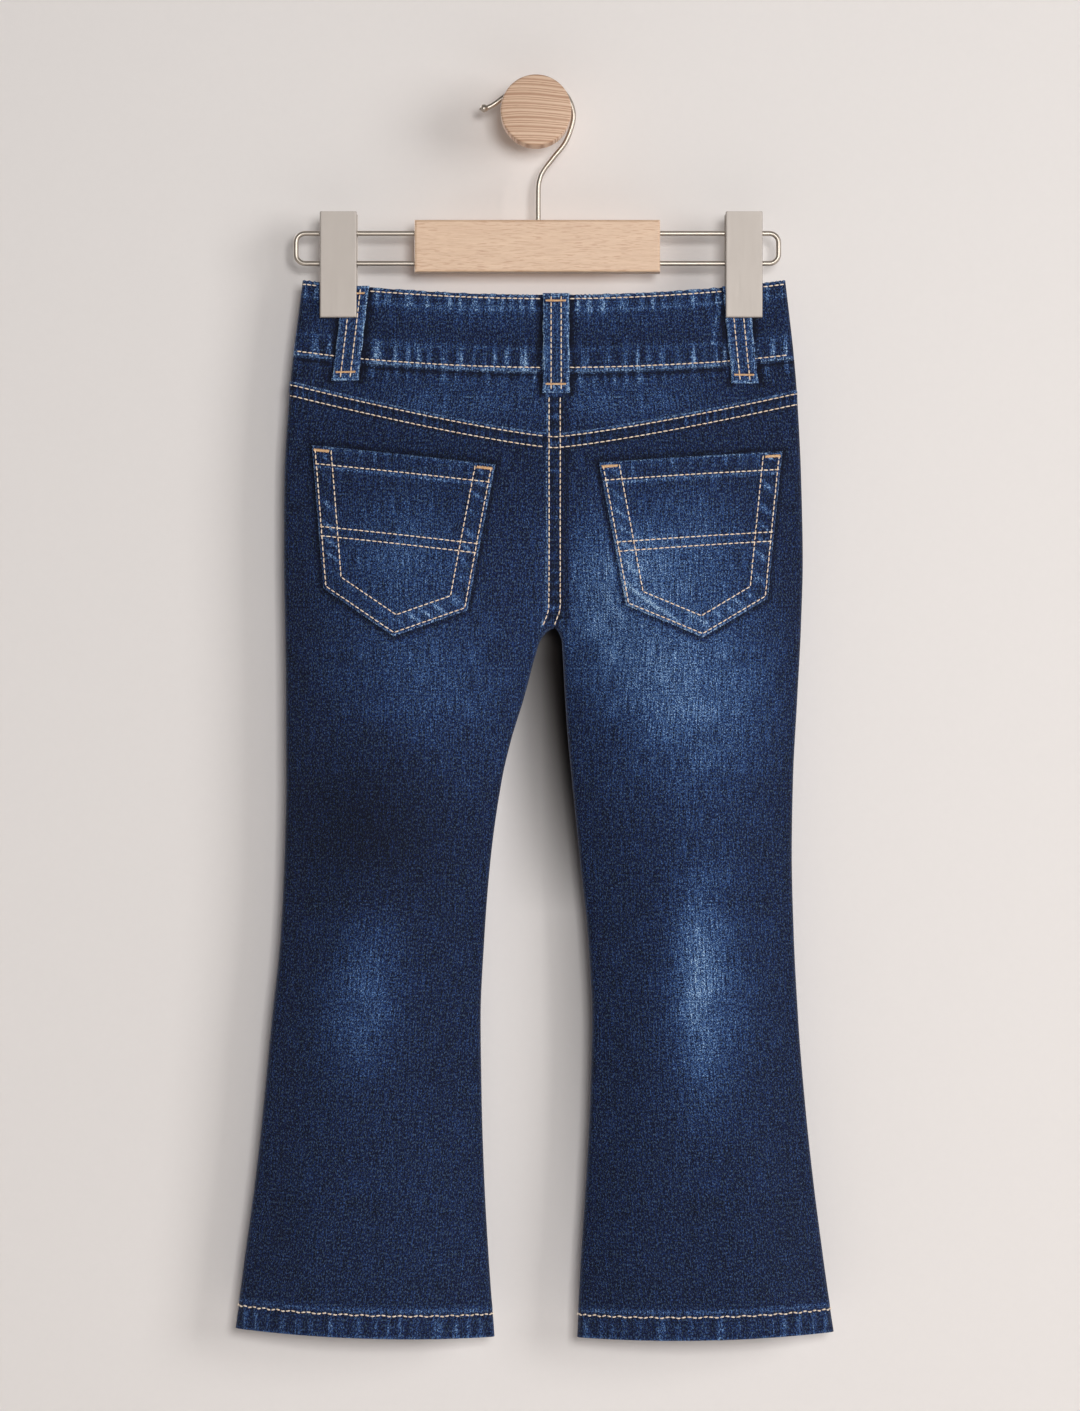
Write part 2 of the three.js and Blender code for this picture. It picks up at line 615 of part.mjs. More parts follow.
function addPeg() {
  const { neck, head, groove, seat, foot, face, edge, sides } = PEG;
  const outline = [
    [0, face],
    [head - edge, face],
    [head - 0.3 * edge, face + 0.3 * edge],
    [head, face + edge],
    [head, groove - edge],
    [neck, groove],
    [neck, seat],
    [foot, 0],
    [0, 0],
  ];
  addPiece("wall_peg", lathe(outline, sides), "beech");
}

// Manifold solids, for joining and cutting
function toSolid(geometry) {
  const bare = geometry.index ? geometry.toNonIndexed() : geometry.clone();
  for (const name of Object.keys(bare.attributes)) if (name !== "position") bare.deleteAttribute(name);
  const merged = mergeVertices(bare, 1e-4);
  const vertProperties = merged.attributes.position.array;
  const triVerts = new Uint32Array(merged.index.array);
  return new wasm.Manifold(new wasm.Mesh({ numProp: 3, vertProperties, triVerts }));
}

function toGeometry(solid) {
  const mesh = solid.getMesh();
  const geometry = new THREE.BufferGeometry();
  geometry.setAttribute("position", new THREE.BufferAttribute(new Float32Array(mesh.vertProperties), 3));
  geometry.setIndex(new THREE.BufferAttribute(new Uint32Array(mesh.triVerts), 1));
  geometry.computeVertexNormals();
  return geometry;
}

addWaistband();
addYokes();
addLegPanels();
addBackPockets();
addBeltLoops();
addButton();
addBlock();
addHook();
addRail("left", -1);
addRail("right", 1);
addClip("left");
addClip("right");
addPeg();

export default group;
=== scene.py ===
"""A child's flared jeans, hung flat from a clip hanger on a round wooden wall peg, seen from the back.

Lengths are in millimetres until a mesh is made, where MM turns them into metres. The frame is the CAD
frame: the wall is y = 0, the back of the jeans faces -Y, and left is the wearer's left, towards -X.
"""
import json
import math
import random

import bpy
import numpy as np
from mathutils import Matrix, Vector

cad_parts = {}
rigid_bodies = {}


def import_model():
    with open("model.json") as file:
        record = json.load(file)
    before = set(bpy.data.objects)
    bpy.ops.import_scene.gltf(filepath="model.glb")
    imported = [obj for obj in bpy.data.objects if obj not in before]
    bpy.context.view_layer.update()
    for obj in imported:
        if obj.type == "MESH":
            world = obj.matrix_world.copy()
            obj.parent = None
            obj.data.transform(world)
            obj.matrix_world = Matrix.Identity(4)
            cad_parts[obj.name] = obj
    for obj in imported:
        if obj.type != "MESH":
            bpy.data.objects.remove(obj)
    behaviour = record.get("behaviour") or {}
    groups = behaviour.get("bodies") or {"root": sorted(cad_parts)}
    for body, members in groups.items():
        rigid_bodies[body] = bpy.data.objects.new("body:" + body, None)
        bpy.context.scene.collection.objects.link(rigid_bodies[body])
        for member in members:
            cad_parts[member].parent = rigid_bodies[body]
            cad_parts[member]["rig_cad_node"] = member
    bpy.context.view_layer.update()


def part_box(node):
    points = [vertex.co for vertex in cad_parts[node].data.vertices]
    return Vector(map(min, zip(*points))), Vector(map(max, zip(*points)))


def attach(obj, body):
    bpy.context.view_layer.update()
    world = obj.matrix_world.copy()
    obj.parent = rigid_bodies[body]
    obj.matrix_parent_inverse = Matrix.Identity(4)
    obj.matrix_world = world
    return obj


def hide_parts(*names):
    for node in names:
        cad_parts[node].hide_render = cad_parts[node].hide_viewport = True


MM = 0.001
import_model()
random.seed(41)

# Sizes that the cloth shares with the solids
DENIM = 1.1
HEM_THICK = 2.5
BAND_THICK = 1.9
HEM_HEIGHT = 13.8
HEM_FADE = -560
PIECE_GAP = 0.3
HANG_Y = -28
CENTRE_X = 10
CROTCH_Z = -282.4
CROTCH_ARCH = 9
CROTCH_RISE = 100
CROTCH_STRETCH = 40
SEAM_TURN = math.radians(35)
INSEAM_RUN = 25
SEAM_INSIDE = 2
PINCH_REACH = 22
PINCH_FULL = -116
PINCH_NONE = -188
CLIP_X = {"left": -108.4, "right": 114.1}

# Sections of the hanging cloth: height, outer folds, distance of both faces from the hanging plane, fold
SECTIONS = {
    "z": [-90, -112, -134, -157, -200, -245, -282, -321, -365, -409, -453, -497, -541, -585, -629, -672],
    "left": [-128.2, -131.0, -133.8, -136.0, -138.4, -138.6, -138.0, -137.5, -137.3, -138.4, -140.6,
             -145.0, -149.4, -154.4, -160.4, -165.8],
    "right": [137.0, 139.6, 142.0, 143.8, 145.8, 146.8, 145.7, 143.6, 141.4, 140.7, 141.6, 144.0, 147.8,
              152.4, 158.0, 164.2],
    "back": [8.5, 9.5, 13, 17, 21, 22.5, 21, 19.5, 18.5, 18, 17.5, 17.5, 18.5, 19.5, 20.5, 21.5],
    "front": [7.5, 8.5, 11, 14, 16, 16.5, 16, 16, 15.5, 15, 15, 15, 15.5, 16.5, 17, 17.5],
    "fold": [3.4, 3.4, 3.6, 4.2, 5, 5, 5, 5, 5, 5, 5, 5, 5, 5, 5, 5],
}
INNER_FOLDS = {
    "z": [-282.4, -300, -321, -343, -365, -409, -453, -497, -541, -585, -629, -672],
    "left": [4.2, -1.1, -6.8, -13.6, -18.7, -24.8, -28.3, -30.4, -29.8, -28.4, -26.1, -22.8],
    "right": [13.8, 14.8, 16.0, 17.6, 19.7, 24.0, 28.6, 30.8, 29.7, 27.5, 24.8, 22.6],
}

# Lines round the body: heights at the left fold, the centre and the right fold, and how they bend
TOP = {"back": (-90.5, -99.3, -90.5, 2), "front": (-90.5, -116.5, -90.5, 2)}
BAND_SEAM = {"back": (-131.9, -142.3, -134.0, 2), "front": (-131.9, -156.5, -134.0, 2)}
YOKE_SEAM = (-147.9, -178.4, -153.1, 1.25)
HEM_LINE = (-666.5, -671.5, -668.5, 1.6)

# The rows of sewing along those lines: offset from the line
BAND_ROW = 2.5
TOP_ROW = -2.4
YOKE_ROWS = (0.2, -5.7)
CENTRE_ROWS = (-2.9, 3.2)
HEM_ROW = 12.6
LOOP_ROW = 2.75

# Belt loops: width, thickness, and the length by which their ends are rounded
LOOP_WIDTH = 14.4
LOOP_THICK = 1.6
LOOP_RUN = 50
POCKET_THICK = 1.4
BACK_POCKETS = {
    "left": ([(-122.6, -181.8), (-22.0, -193.3)], [(-116.0, -260.4), (-77.5, -286.8), (-37.4, -272.5)]),
    "right": ([(34.1, -192.2), (134.7, -185.1)], [(49.0, -269.8), (90.7, -287.4), (126.5, -265.9)]),
}
BELT_LOOPS = {
    "belt_loop_back_centre": ("back", (11.0, -98.7), (11.0, -154.0)),
    "belt_loop_back_left": ("back", (-98.7, -94.2), (-104.6, -146.4)),
    "belt_loop_back_right": ("back", (109.6, -94.4), (114.6, -148.0)),
    "belt_loop_front_left": ("front", (-58, -108.5), (-60, -157)),
    "belt_loop_front_right": ("front", (78, -108.5), (80, -157)),
}

STITCH_PITCH = 3.2
THREAD = 0.36
HEM_THREAD = 0.46
SIDES = ("left", "right")
FACES = ("back", "front")

# Every piece by its name, and the outer grid of each piece of cloth
PIECES, OUTER = {}, {}


# Curves and the surface of the hanging cloth

def monotone(table, column):
    """A smooth curve through one column of a table, as fine samples for np.interp."""
    z = np.array(table["z"][::-1], float)
    value = np.array(table[column][::-1], float)
    slope = np.diff(value) / np.diff(z)
    tangent = np.concatenate([[slope[0]], np.zeros(len(slope) - 1), [slope[-1]]])
    both = slope[:-1] * slope[1:]
    good = both > 0
    tangent[1:-1][good] = 2 * both[good] / (slope[:-1] + slope[1:])[good]
    fine = np.linspace(z[0], z[-1], 1600)
    i = np.clip(np.searchsorted(z, fine, side="right") - 1, 0, len(z) - 2)
    run = z[i + 1] - z[i]
    s = (fine - z[i]) / run
    blend = s * s * (3 - 2 * s)
    ease = s * (1 - s) ** 2 * run * tangent[i] + s * s * (s - 1) * run * tangent[i + 1]
    return fine, value[i] + (value[i + 1] - value[i]) * blend + ease


CURVES = {name: monotone(SECTIONS, name) for name in (*SIDES, *FACES, "fold")}
INNER_CURVES = {side: monotone(INNER_FOLDS, side) for side in SIDES}


def read(curves, name, z):
    return np.interp(z, *curves[name])


def sign_of(side):
    """The direction in x from the middle towards a side's outer fold."""
    return -1 if side == "left" else 1


def out_of(face):
    """The direction in y that a face looks in."""
    return -1 if face == "back" else 1


def smooth(value, low, high):
    s = np.clip((np.asarray(value, float) - low) / (high - low), 0, 1)
    return s * s * (3 - 2 * s)


def bump(distance, width):
    """1 at no distance, falling softly to 0 past the width."""
    return np.exp(-(distance / width) ** 2)


def line_at(line, x):
    """Height of a line round the body at each x."""
    left, centre, right, power = line
    x = np.asarray(x, float)
    edge = np.where(x < CENTRE_X, read(CURVES, "left", centre), read(CURVES, "right", centre))
    share = np.minimum(1, np.abs((x - CENTRE_X) / (edge - CENTRE_X)))
    return centre + (np.where(x < CENTRE_X, left, right) - centre) * share ** power


def pinch(x, z):
    """How far the clips press the two faces together, from 0 to 1."""
    near = [bump(x - clip, PINCH_REACH) for clip in CLIP_X.values()]
    return smooth(z, PINCH_NONE, PINCH_FULL) * np.maximum(*near)


def half_outline(side, face, z, gap):
    """x and distance from the hanging plane, from the outseam to the centre seam or the inseam."""
    sign = 1 if side == "left" else -1
    fold = read(CURVES, "fold", z)
    depth = read(CURVES, face, z) - fold
    outer = read(CURVES, side, z) + sign * fold
    inner = read(INNER_CURVES, side, z) - sign * fold
    above = z - CROTCH_Z
    if above < 0:
        q = max(0, 1 + above / CROTCH_ARCH)
        tip = CENTRE_X + (inner + sign * fold - CENTRE_X) * math.sqrt(1 - q * q) - sign * fold
    else:
        inner += (2 * CENTRE_X - outer - inner) * float(smooth(above, 0, CROTCH_RISE))
        tip = CENTRE_X + sign * max(sign * (inner - CENTRE_X), min(0, above - fold))
    middle, half = (outer + inner) / 2, abs(inner - outer) / 2
    start = inner - sign * CROTCH_STRETCH

    def height(x):
        s = np.clip((x - start) / (tip - start), 0, 1)
        t = np.clip((x - (tip - inner) * s * s - middle) / half, -1, 1)
        return depth * (1 - t * t) * (1 - pinch(x, z))

    x = np.linspace(outer, tip, 90)
    step = 0.05 * sign
    ends = min(outer, tip), max(outer, tip)
    low, high = np.clip(x - step, *ends), np.clip(x + step, *ends)
    slope = (height(high) - height(low)) / (high - low)
    length = np.hypot(1, slope)
    face_x, face_out = x - fold * slope / length, height(x) + fold / length
    towards = 1 if face == "back" else -1
    seam = PIECE_GAP / 2 / (fold - SEAM_INSIDE)
    tilt = math.pi / 2 - np.arctan(np.abs(slope[[0, -1]]))
    turned = SEAM_TURN * float(smooth(-above, 0, INSEAM_RUN))
    a = np.linspace(-towards * SEAM_TURN + seam, tilt[0], 14)
    b = np.linspace(tilt[1], -towards * turned + seam, 14)
    xs = np.concatenate([outer - sign * fold * np.cos(a), face_x[1:-1], tip + sign * fold * np.cos(b)])
    outs = np.concatenate([fold * np.sin(a), face_out[1:-1], fold * np.sin(b)])
    limit = CENTRE_X - sign * gap
    past = np.nonzero(sign * (xs - limit) > 0)[0]
    if len(past) and past[0] > 0:
        k = past[0]
        share = (limit - xs[k - 1]) / (xs[k] - xs[k - 1])
        xs = np.append(xs[:k], limit)
        outs = np.append(outs[:k], outs[k - 1] + (outs[k] - outs[k - 1]) * share)
    return xs, outs


def unit(vectors):
    return vectors / np.maximum(np.linalg.norm(vectors, axis=-1, keepdims=True), 1e-9)


def outward(skin, c, z):
    """Outward directions of the plain skin, before any relief."""
    dc, dz = 0.002, 0.4
    across = skin.at(np.clip(c + dc, 0, 1), z) - skin.at(np.clip(c - dc, 0, 1), z)
    along = skin.at(c, z - dz) - skin.at(c, z + dz)
    rising = 1 if skin.x[0, -1] > skin.x[0, 0] else -1
    return unit(np.cross(across, along)) * rising * -skin.out * skin.turn


LEVELS = np.unique(np.concatenate([
    np.arange(-674, -88, 2.0),
    CROTCH_Z + np.array([-12, -9, -7, -5, -3.5, -2.2, -1.2, -0.5, -0.15, 0, 0.15, 0.5, 1.2, 2.2, 3.5, 5, 7]),
]))
ACROSS = 161
SHARES = 0.5 - 0.5 * np.cos(np.linspace(0, math.pi, ACROSS))


class Skin:
    """The outer skin of half a face: points and outward directions over (across 0..1, height)."""

    def __init__(self, side, face, gap=PIECE_GAP / 2):
        self.out = out_of(face)
        self.turn = 1
        self.x = np.empty((len(LEVELS), ACROSS))
        self.y = np.empty_like(self.x)
        self.girth = np.empty(len(LEVELS))
        for i, z in enumerate(LEVELS):
            xs, outs = half_outline(side, face, z, gap)
            run = np.concatenate([[0], np.cumsum(np.hypot(np.diff(xs), np.diff(outs)))])
            self.x[i] = np.interp(SHARES * run[-1], run, xs)
            self.y[i] = HANG_Y + self.out * np.interp(SHARES * run[-1], run, outs)
            self.girth[i] = run[-1]
        middle = outward(self, np.full(1, 0.5), np.full(1, -400.0))[0]
        self.turn = 1 if middle[1] * self.out > 0 else -1

    def look(self, grid, c, z):
        """A grid's value between its points."""
        i = np.clip(np.searchsorted(LEVELS, z, side="right") - 1, 0, len(LEVELS) - 2)
        v = np.clip((z - LEVELS[i]) / (LEVELS[i + 1] - LEVELS[i]), 0, 1)
        j = np.clip((np.asarray(c) * (ACROSS - 1)).astype(int), 0, ACROSS - 2)
        u = np.asarray(c) * (ACROSS - 1) - j
        top = grid[i + 1, j] * (1 - u) + grid[i + 1, j + 1] * u
        low = grid[i, j] * (1 - u) + grid[i, j + 1] * u
        return low * (1 - v) + top * v

    def at(self, c, z):
        return np.stack([self.look(self.x, c, z), self.look(self.y, c, z), np.asarray(z, float)], -1)

    def width(self, z):
        return np.interp(z, LEVELS, self.girth)

    def across_of(self, x, z):
        """The place across at which the face has this x, at this height."""
        c = np.full(np.shape(x), 0.5)
        low, high = np.full(np.shape(x), 0.02), np.full(np.shape(x), 1.0)
        rising = self.x[0, -1] > self.x[0, 0]
        for _ in range(22):
            c = (low + high) / 2
            short = self.look(self.x, c, z) < x if rising else self.look(self.x, c, z) > x
            low, high = np.where(short, c, low), np.where(short, high, c)
        return c


SKINS = {(side, face): Skin(side, face) for side in SIDES for face in FACES}


# Creases, puckers, wear and painted shade, all in millimetres on a face

# Soft troughs (depth below zero) and ridges: from, to, sideways bow, width, depth
CREASES = {
    "back": [
        ((4, -262), (-38, -300), 5, 9, -1.3),
        ((18, -262), (52, -304), -6, 9, -1.2),
        ((2, -282), (-46, -322), 7, 11, -1.0),
        ((18, -284), (58, -330), -6, 10, -1.1),
        ((-8, -300), (-60, -346), 6, 14, 0.9),
        ((24, -300), (70, -350), -8, 13, 0.8),
        ((-128, -296), (-70, -318), -8, 10, -0.7),
        ((138, -300), (84, -322), 6, 11, -0.8),
        ((-126, -412), (-52, -398), 5, 12, -0.8),
        ((-132, -442), (-40, -456), -6, 15, -0.9),
        ((-120, -470), (-60, -430), 7, 13, 0.8),
        ((132, -418), (50, -396), -6, 13, -0.9),
        ((128, -452), (38, -462), 7, 12, -0.7),
        ((116, -486), (60, -440), -5, 14, 0.8),
        ((-84, -360), (-92, -560), 10, 22, 1.3),
        ((76, -370), (90, -580), -9, 24, 1.2),
        ((-60, -540), (-44, -668), 6, 19, 1.2),
        ((-118, -560), (-136, -668), -4, 17, 1.1),
        ((52, -556), (40, -668), -5, 17, 1.0),
        ((112, -548), (130, -668), 5, 20, 1.3),
        ((-98, -560), (-96, -668), 3, 16, -1.0),
        ((84, -560), (82, -668), -3, 18, -1.1),
    ],
    "front": [
        ((4, -240), (-52, -262), 6, 10, -1.2),
        ((16, -244), (64, -270), -7, 11, -1.3),
        ((2, -268), (-58, -296), 8, 11, -1.1),
        ((18, -270), (66, -304), -7, 10, -1.2),
        ((-2, -222), (-36, -232), 4, 9, -0.8),
        ((20, -218), (60, -234), -5, 9, -0.8),
        ((-130, -262), (-84, -280), -5, 11, -0.7),
        ((140, -258), (92, -282), 6, 10, -0.8),
        ((-124, -436), (-50, -424), 6, 13, -0.9),
        ((-130, -462), (-42, -478), -5, 12, -0.7),
        ((130, -430), (44, -420), -7, 12, -0.8),
        ((126, -474), (46, -458), 6, 14, -0.8),
        ((-88, -350), (-92, -570), -9, 24, 1.2),
        ((78, -360), (86, -560), 8, 22, 1.2),
        ((-66, -556), (-50, -668), 5, 18, 1.1),
        ((-122, -566), (-140, -668), -4, 18, 1.2),
        ((60, -560), (44, -668), -5, 18, 1.0),
        ((116, -552), (134, -668), 5, 18, 1.2),
    ],
}

# Lighter, worn places, and darker places where the strength is below 0: centre, half width, half height,
# lean, strength
FADES = {
    "back": [
        ((92, -316), 44, 58, 0.05, 0.54),
        ((38, -256), 22, 40, 0.1, 0.2),
        ((44, -282), 36, 56, -0.3, 0.42),
        ((-60, -308), 50, 56, -0.15, 0.34),
        ((-92, -470), 21, 50, 0.1, 0.36),
        ((-94, -500), 18, 26, 0.0, 0.16),
        ((91, -478), 20, 64, 0.0, 0.5),
        ((88, -472), 9, 46, 0.0, 0.26),
        ((104, -480), 36, 84, 0.0, 0.12),
        ((-92, -392), 40, 46, 0.0, -0.44),
        ((70, -238), 44, 34, 0.1, 0.24),
        ((-70, -238), 42, 34, 0.1, 0.16),
        ((48, -158), 54, 14, 0.1, 0.36),
        ((-48, -158), 54, 14, -0.1, 0.32),
        ((4, -108), 120, 16, 0.0, 0.2),
        ((-60, -600), 50, 60, 0.0, 0.05),
        ((-136, -330), 14, 200, 0.0, -0.12),
        ((146, -330), 12, 200, 0.0, -0.14),
    ],
    "front": [
        ((-70, -330), 36, 120, 0.04, 0.55),
        ((88, -330), 36, 120, -0.04, 0.6),
        ((-86, -470), 26, 80, 0.1, 0.4),
        ((94, -474), 26, 80, -0.1, 0.45),
        ((-68, -220), 40, 44, 0.1, 0.25),
        ((84, -220), 40, 44, -0.1, 0.25),
        ((4, -136), 110, 12, 0.0, 0.12),
    ],
}

PUCKER_TABLE = np.random.default_rng(7).uniform(-1, 1, 4096)


def ripple(run, pitch, seed):
    """Uneven puckers along a seam, between -1 and 1: no two have the same length or height."""
    place = run / pitch + 0.4 * np.sin(run / (pitch * 2.7) + seed) + seed * 13.7
    place = place + 0.25 * np.sin(run / (pitch * 0.83) + 2 * seed)
    whole = np.floor(place).astype(int)
    s = place - whole
    a, b = PUCKER_TABLE[whole % 4096], PUCKER_TABLE[(whole + 1) % 4096]
    strength = 0.62 + 0.38 * (a + (b - a) * s * s * (3 - 2 * s))
    return np.cos(2 * math.pi * s) * strength


def ridge(run, pitch, seed):
    """The tops of the same puckers, from 0 to 1."""
    return np.clip(0.12 + 1.25 * ripple(run, pitch, seed), 0, 1) ** 1.15


def rolling(x, z, size, seed):
    """Slow, uneven swells of the hanging cloth."""
    total = 0
    for k in range(4):
        turn = seed * 1.7 + k * 2.4
        along = (x * math.cos(turn) + z * math.sin(turn)) / (size * (1 + 0.37 * k))
        total = total + np.sin(along * 2 * math.pi + seed * 3.1 + k * 1.9) / (1 + 0.5 * k)
    return total / 2.2


def crease_depth(x, z, start, end, bow, width, depth):
    """One trough or ridge, which fades in at its start and out at its end."""
    (x0, z0), (x1, z1) = start, end
    dx, dz = x1 - x0, z1 - z0
    run = math.hypot(dx, dz)
    along = ((x - x0) * dx + (z - z0) * dz) / run ** 2
    off = ((x - x0) * dz - (z - z0) * dx) / run
    off = off - bow * np.sin(math.pi * np.clip(along, 0, 1))
    fade = smooth(along, -0.1, 0.25) * (1 - smooth(along, 0.7, 1.08))
    return depth * bump(off, width) * fade


# Sewing that pulls the cloth: its middle above the line, reach and depth of the puckers, pitch, wear on them
SEWN_ROWS = {
    "band_top": (-5.2, 4.4, 0.3, 7.4, 1.1),
    "band_foot": (6.2, 5.2, 0.3, 7.9, 1.35),
    "under_band": (-3.0, 4.2, 0.16, 7.1, 0.7),
    "yoke": (-2.7, 3.4, 0.2, 4.6, 0.5),
}
HEM_PITCH = 7.7
TOP_PITCH = 2.3


def sewn_rows(face, x, z):
    """Each row's height above its middle, and its reach, depth, pitch, wear and seed."""
    lines = [TOP[face], BAND_SEAM[face], BAND_SEAM[face]] + ([YOKE_SEAM] if face == "back" else [])
    for k, (line, (lift, *row)) in enumerate(zip(lines, SEWN_ROWS.values())):
        yield z - line_at(line, x) - lift, *row, k + 1


def above_hem(x, z):
    return z - line_at(HEM_LINE, x)


def relief(face, x, z):
    """How far the cloth stands out of its plain form."""
    x, z = np.asarray(x, float), np.asarray(z, float)
    free = 1 - smooth(z, -215, -150)
    total = 0.8 * free * rolling(x, z, 150, 1 if face == "back" else 2)
    for crease in CREASES[face]:
        total = total + crease_depth(x, z, *crease)
    for off, reach, depth, pitch, _, seed in sewn_rows(face, x, z):
        total = total + depth * ripple(x, pitch, seed) * bump(off, reach)
    above_crotch = smooth(z, CROTCH_Z - 2, CROTCH_Z + 6)
    total = total + 0.3 * ripple(z, 7.0, 5) * bump(x - CENTRE_X, 6) * smooth(-z, 150, 165) * above_crotch
    rise = above_hem(x, z)
    total = total + 0.5 * ripple(x, HEM_PITCH, 6) * bump(rise - 6, 7) + 0.3 * bump(rise - 16.5, 2.4)
    return total - 0.35 * bump(rise - HEM_ROW, 1.2)


def fade_and_shade_at(face, x, z):
    """How light the cloth has worn in large, and below 0 where it is darker: unworn cloth and the painted
    shade beside what stands over it.
    """
    total = np.zeros(np.shape(x))
    for (cx, cz), width, height, lean, strength in FADES[face]:
        dx = (x - cx - lean * (z - cz)) / width
        dz = (z - cz) / height
        total = total + strength * np.exp(-1.1 * (dx * dx + dz * dz))
    return total - shade_and_unworn_at(face, x, z)


def outside_pocket(x, z, side):
    """Distance outwards from a back pocket's edge."""
    return -np.minimum.reduce(edge_distances(pocket_outline(side), x, z))


def shade_and_unworn_at(face, x, z):
    """Darker cloth beside what stands over it, partly unworn denim and partly painted shade: pockets, belt
    loops, the waistband's foot and the centre seam.
    """
    # painted shade under the waistband's foot
    total = 0.9 * bump(z - line_at(BAND_SEAM[face], x) + 1.5, 1.3)
    for loop_face, top, foot in BELT_LOOPS.values():
        if loop_face != face:
            continue
        share = np.clip((z - foot[1]) / (top[1] - foot[1]), 0, 1)
        side = np.abs(x - foot[0] - (top[0] - foot[0]) * share) - LOOP_WIDTH / 2
        # painted shade beside each belt loop
        total = total + 0.9 * bump(side - 0.9, 2.2) * smooth(z, foot[1] - 3, foot[1])
    if face == "back":
        for side in BACK_POCKETS:
            total = total + 0.62 * bump(outside_pocket(x, z, side) - 0.8, 1.4)
        beside_centre = bump(x - CENTRE_X - 6.4, 1.4) * smooth(z, CROTCH_Z - 2, CROTCH_Z + 6)
        total = total + 0.5 * beside_centre * (z < -120)
    return total


# Meshes

def grid_normals(points, out):
    """Outward directions of a grid of points, whose first axis runs down the cloth."""
    across = np.gradient(points, axis=1)
    along = np.gradient(points, axis=0)
    normals = unit(np.cross(across, along))
    middle = normals[len(normals) // 2, normals.shape[1] // 2]
    return normals if middle[1] * out > 0 else -normals


def wall_faces(rows, columns):
    """Quads of a closed wall whose outer grid comes first and whose inner grid follows."""
    index = np.arange(rows * columns).reshape(rows, columns)
    under = index + rows * columns
    quads = []

    def add(a, b, c, d):
        quads.append(np.stack([a, b, c, d], -1).reshape(-1, 4))

    add(index[:-1, :-1], index[1:, :-1], index[1:, 1:], index[:-1, 1:])
    add(under[:-1, :-1], under[:-1, 1:], under[1:, 1:], under[1:, :-1])
    add(index[:-1, 0], under[:-1, 0], under[1:, 0], index[1:, 0])
    add(index[:-1, -1], index[1:, -1], under[1:, -1], under[:-1, -1])
    add(index[0, :-1], index[0, 1:], under[0, 1:], under[0, :-1])
    add(index[-1, :-1], under[-1, :-1], under[-1, 1:], index[-1, 1:])
    return np.concatenate(quads)


def make_mesh(name, points, faces, material, smooth_shading=True):
    """A mesh object from points in millimetres, with its faces turned to face out."""
    mesh = bpy.data.meshes.new(name)
    mesh.from_pydata((np.asarray(points, float) * MM).tolist(), [], np.asarray(faces).tolist())
    mesh.validate()
    mesh.update()
    corners, faces = np.asarray(points, float), np.asarray(faces)
    volume = 0
    for k in range(1, faces.shape[1] - 1):
        a, b, c = (corners[faces[:, i]] for i in (0, k, k + 1))
        volume += np.einsum("ij,ij->i", a, np.cross(b, c)).sum()
    if volume < 0:
        mesh.flip_normals()
    if smooth_shading:
        mesh.polygons.foreach_set("use_smooth", [True] * len(mesh.polygons))
    mesh.materials.append(material)
    piece = bpy.data.objects.new(name, mesh)
    bpy.context.collection.objects.link(piece)
    return piece


def double_wall(name, outer, inner, material, weave, **layers):
    """A closed wall between two grids. A layer gives a stored value for the outer and the inner points."""
    rows, columns = outer.shape[:2]
    points = np.concatenate([outer.reshape(-1, 3), inner.reshape(-1, 3)])
    piece = make_mesh(name, points, wall_faces(rows, columns), material)
    mesh = piece.data
    for layer, values in layers.items():
        both = np.concatenate([np.broadcast_to(value, (rows, columns)).ravel() for value in values])
        mesh.attributes.new(layer, "FLOAT", "POINT").data.foreach_set("value", both.astype(float))
    corners = np.empty(len(mesh.loops), int)
    mesh.loops.foreach_get("vertex_index", corners)
    u, v = (np.tile(run.ravel(), 2)[corners] for run in weave)
    mesh.uv_layers.new(name="weave").data.foreach_set("uv", np.stack([u, v], -1).ravel())
    PIECES[name] = piece
    return piece


def thread_run(points, normals, pitch=STITCH_PITCH, fill=0.84, radius=THREAD, wobble=0.1):
    """Capsule stitches along a line of points on the cloth. Each dips into the cloth at both ends."""
    run = np.concatenate([[0], np.cumsum(np.linalg.norm(np.diff(points, axis=0), axis=1))])
    count = max(1, int(round(run[-1] / pitch)))
    pitch = run[-1] / count
    rings, sides = 6, 6
    verts, faces = [], []
    for k in range(count):
        start = (k + 0.5 * (1 - fill)) * pitch
        s = start + np.linspace(0, fill * pitch, rings)
        p = np.stack([np.interp(s, run, points[:, i]) for i in range(3)], -1)
        n = unit(np.stack([np.interp(s, run, normals[:, i]) for i in range(3)], -1))
        t = unit(np.gradient(p, axis=0))
        b = unit(np.cross(t, n))
        arc = np.sin(np.linspace(0, math.pi, rings))
        size = radius * (0.45 + 0.55 * arc ** 0.5)
        lift = radius * (1.15 * arc ** 0.7 - 0.35)
        slant = wobble * random.uniform(-1, 1)
        middle = p + n * lift[:, None] + b * (slant * np.linspace(-1, 1, rings))[:, None]
        first = len(verts)
        for i in range(rings):
            for j in range(sides):
                a = 2 * math.pi * j / sides
                verts.append(middle[i] + size[i] * (b[i] * math.cos(a) + n[i] * math.sin(a)))
        for i in range(rings - 1):
            for j in range(sides):
                a, c = first + i * sides + j, first + i * sides + (j + 1) % sides
                faces.append((a, c, c + sides, a + sides))
        for ring, order in ((0, -1), (rings - 1, 1)):
            cap = [first + ring * sides + j for j in range(sides)][::order]
            faces += [(cap[0], cap[1], cap[2], cap[3]), (cap[0], cap[3], cap[4], cap[5])]
    return verts, faces


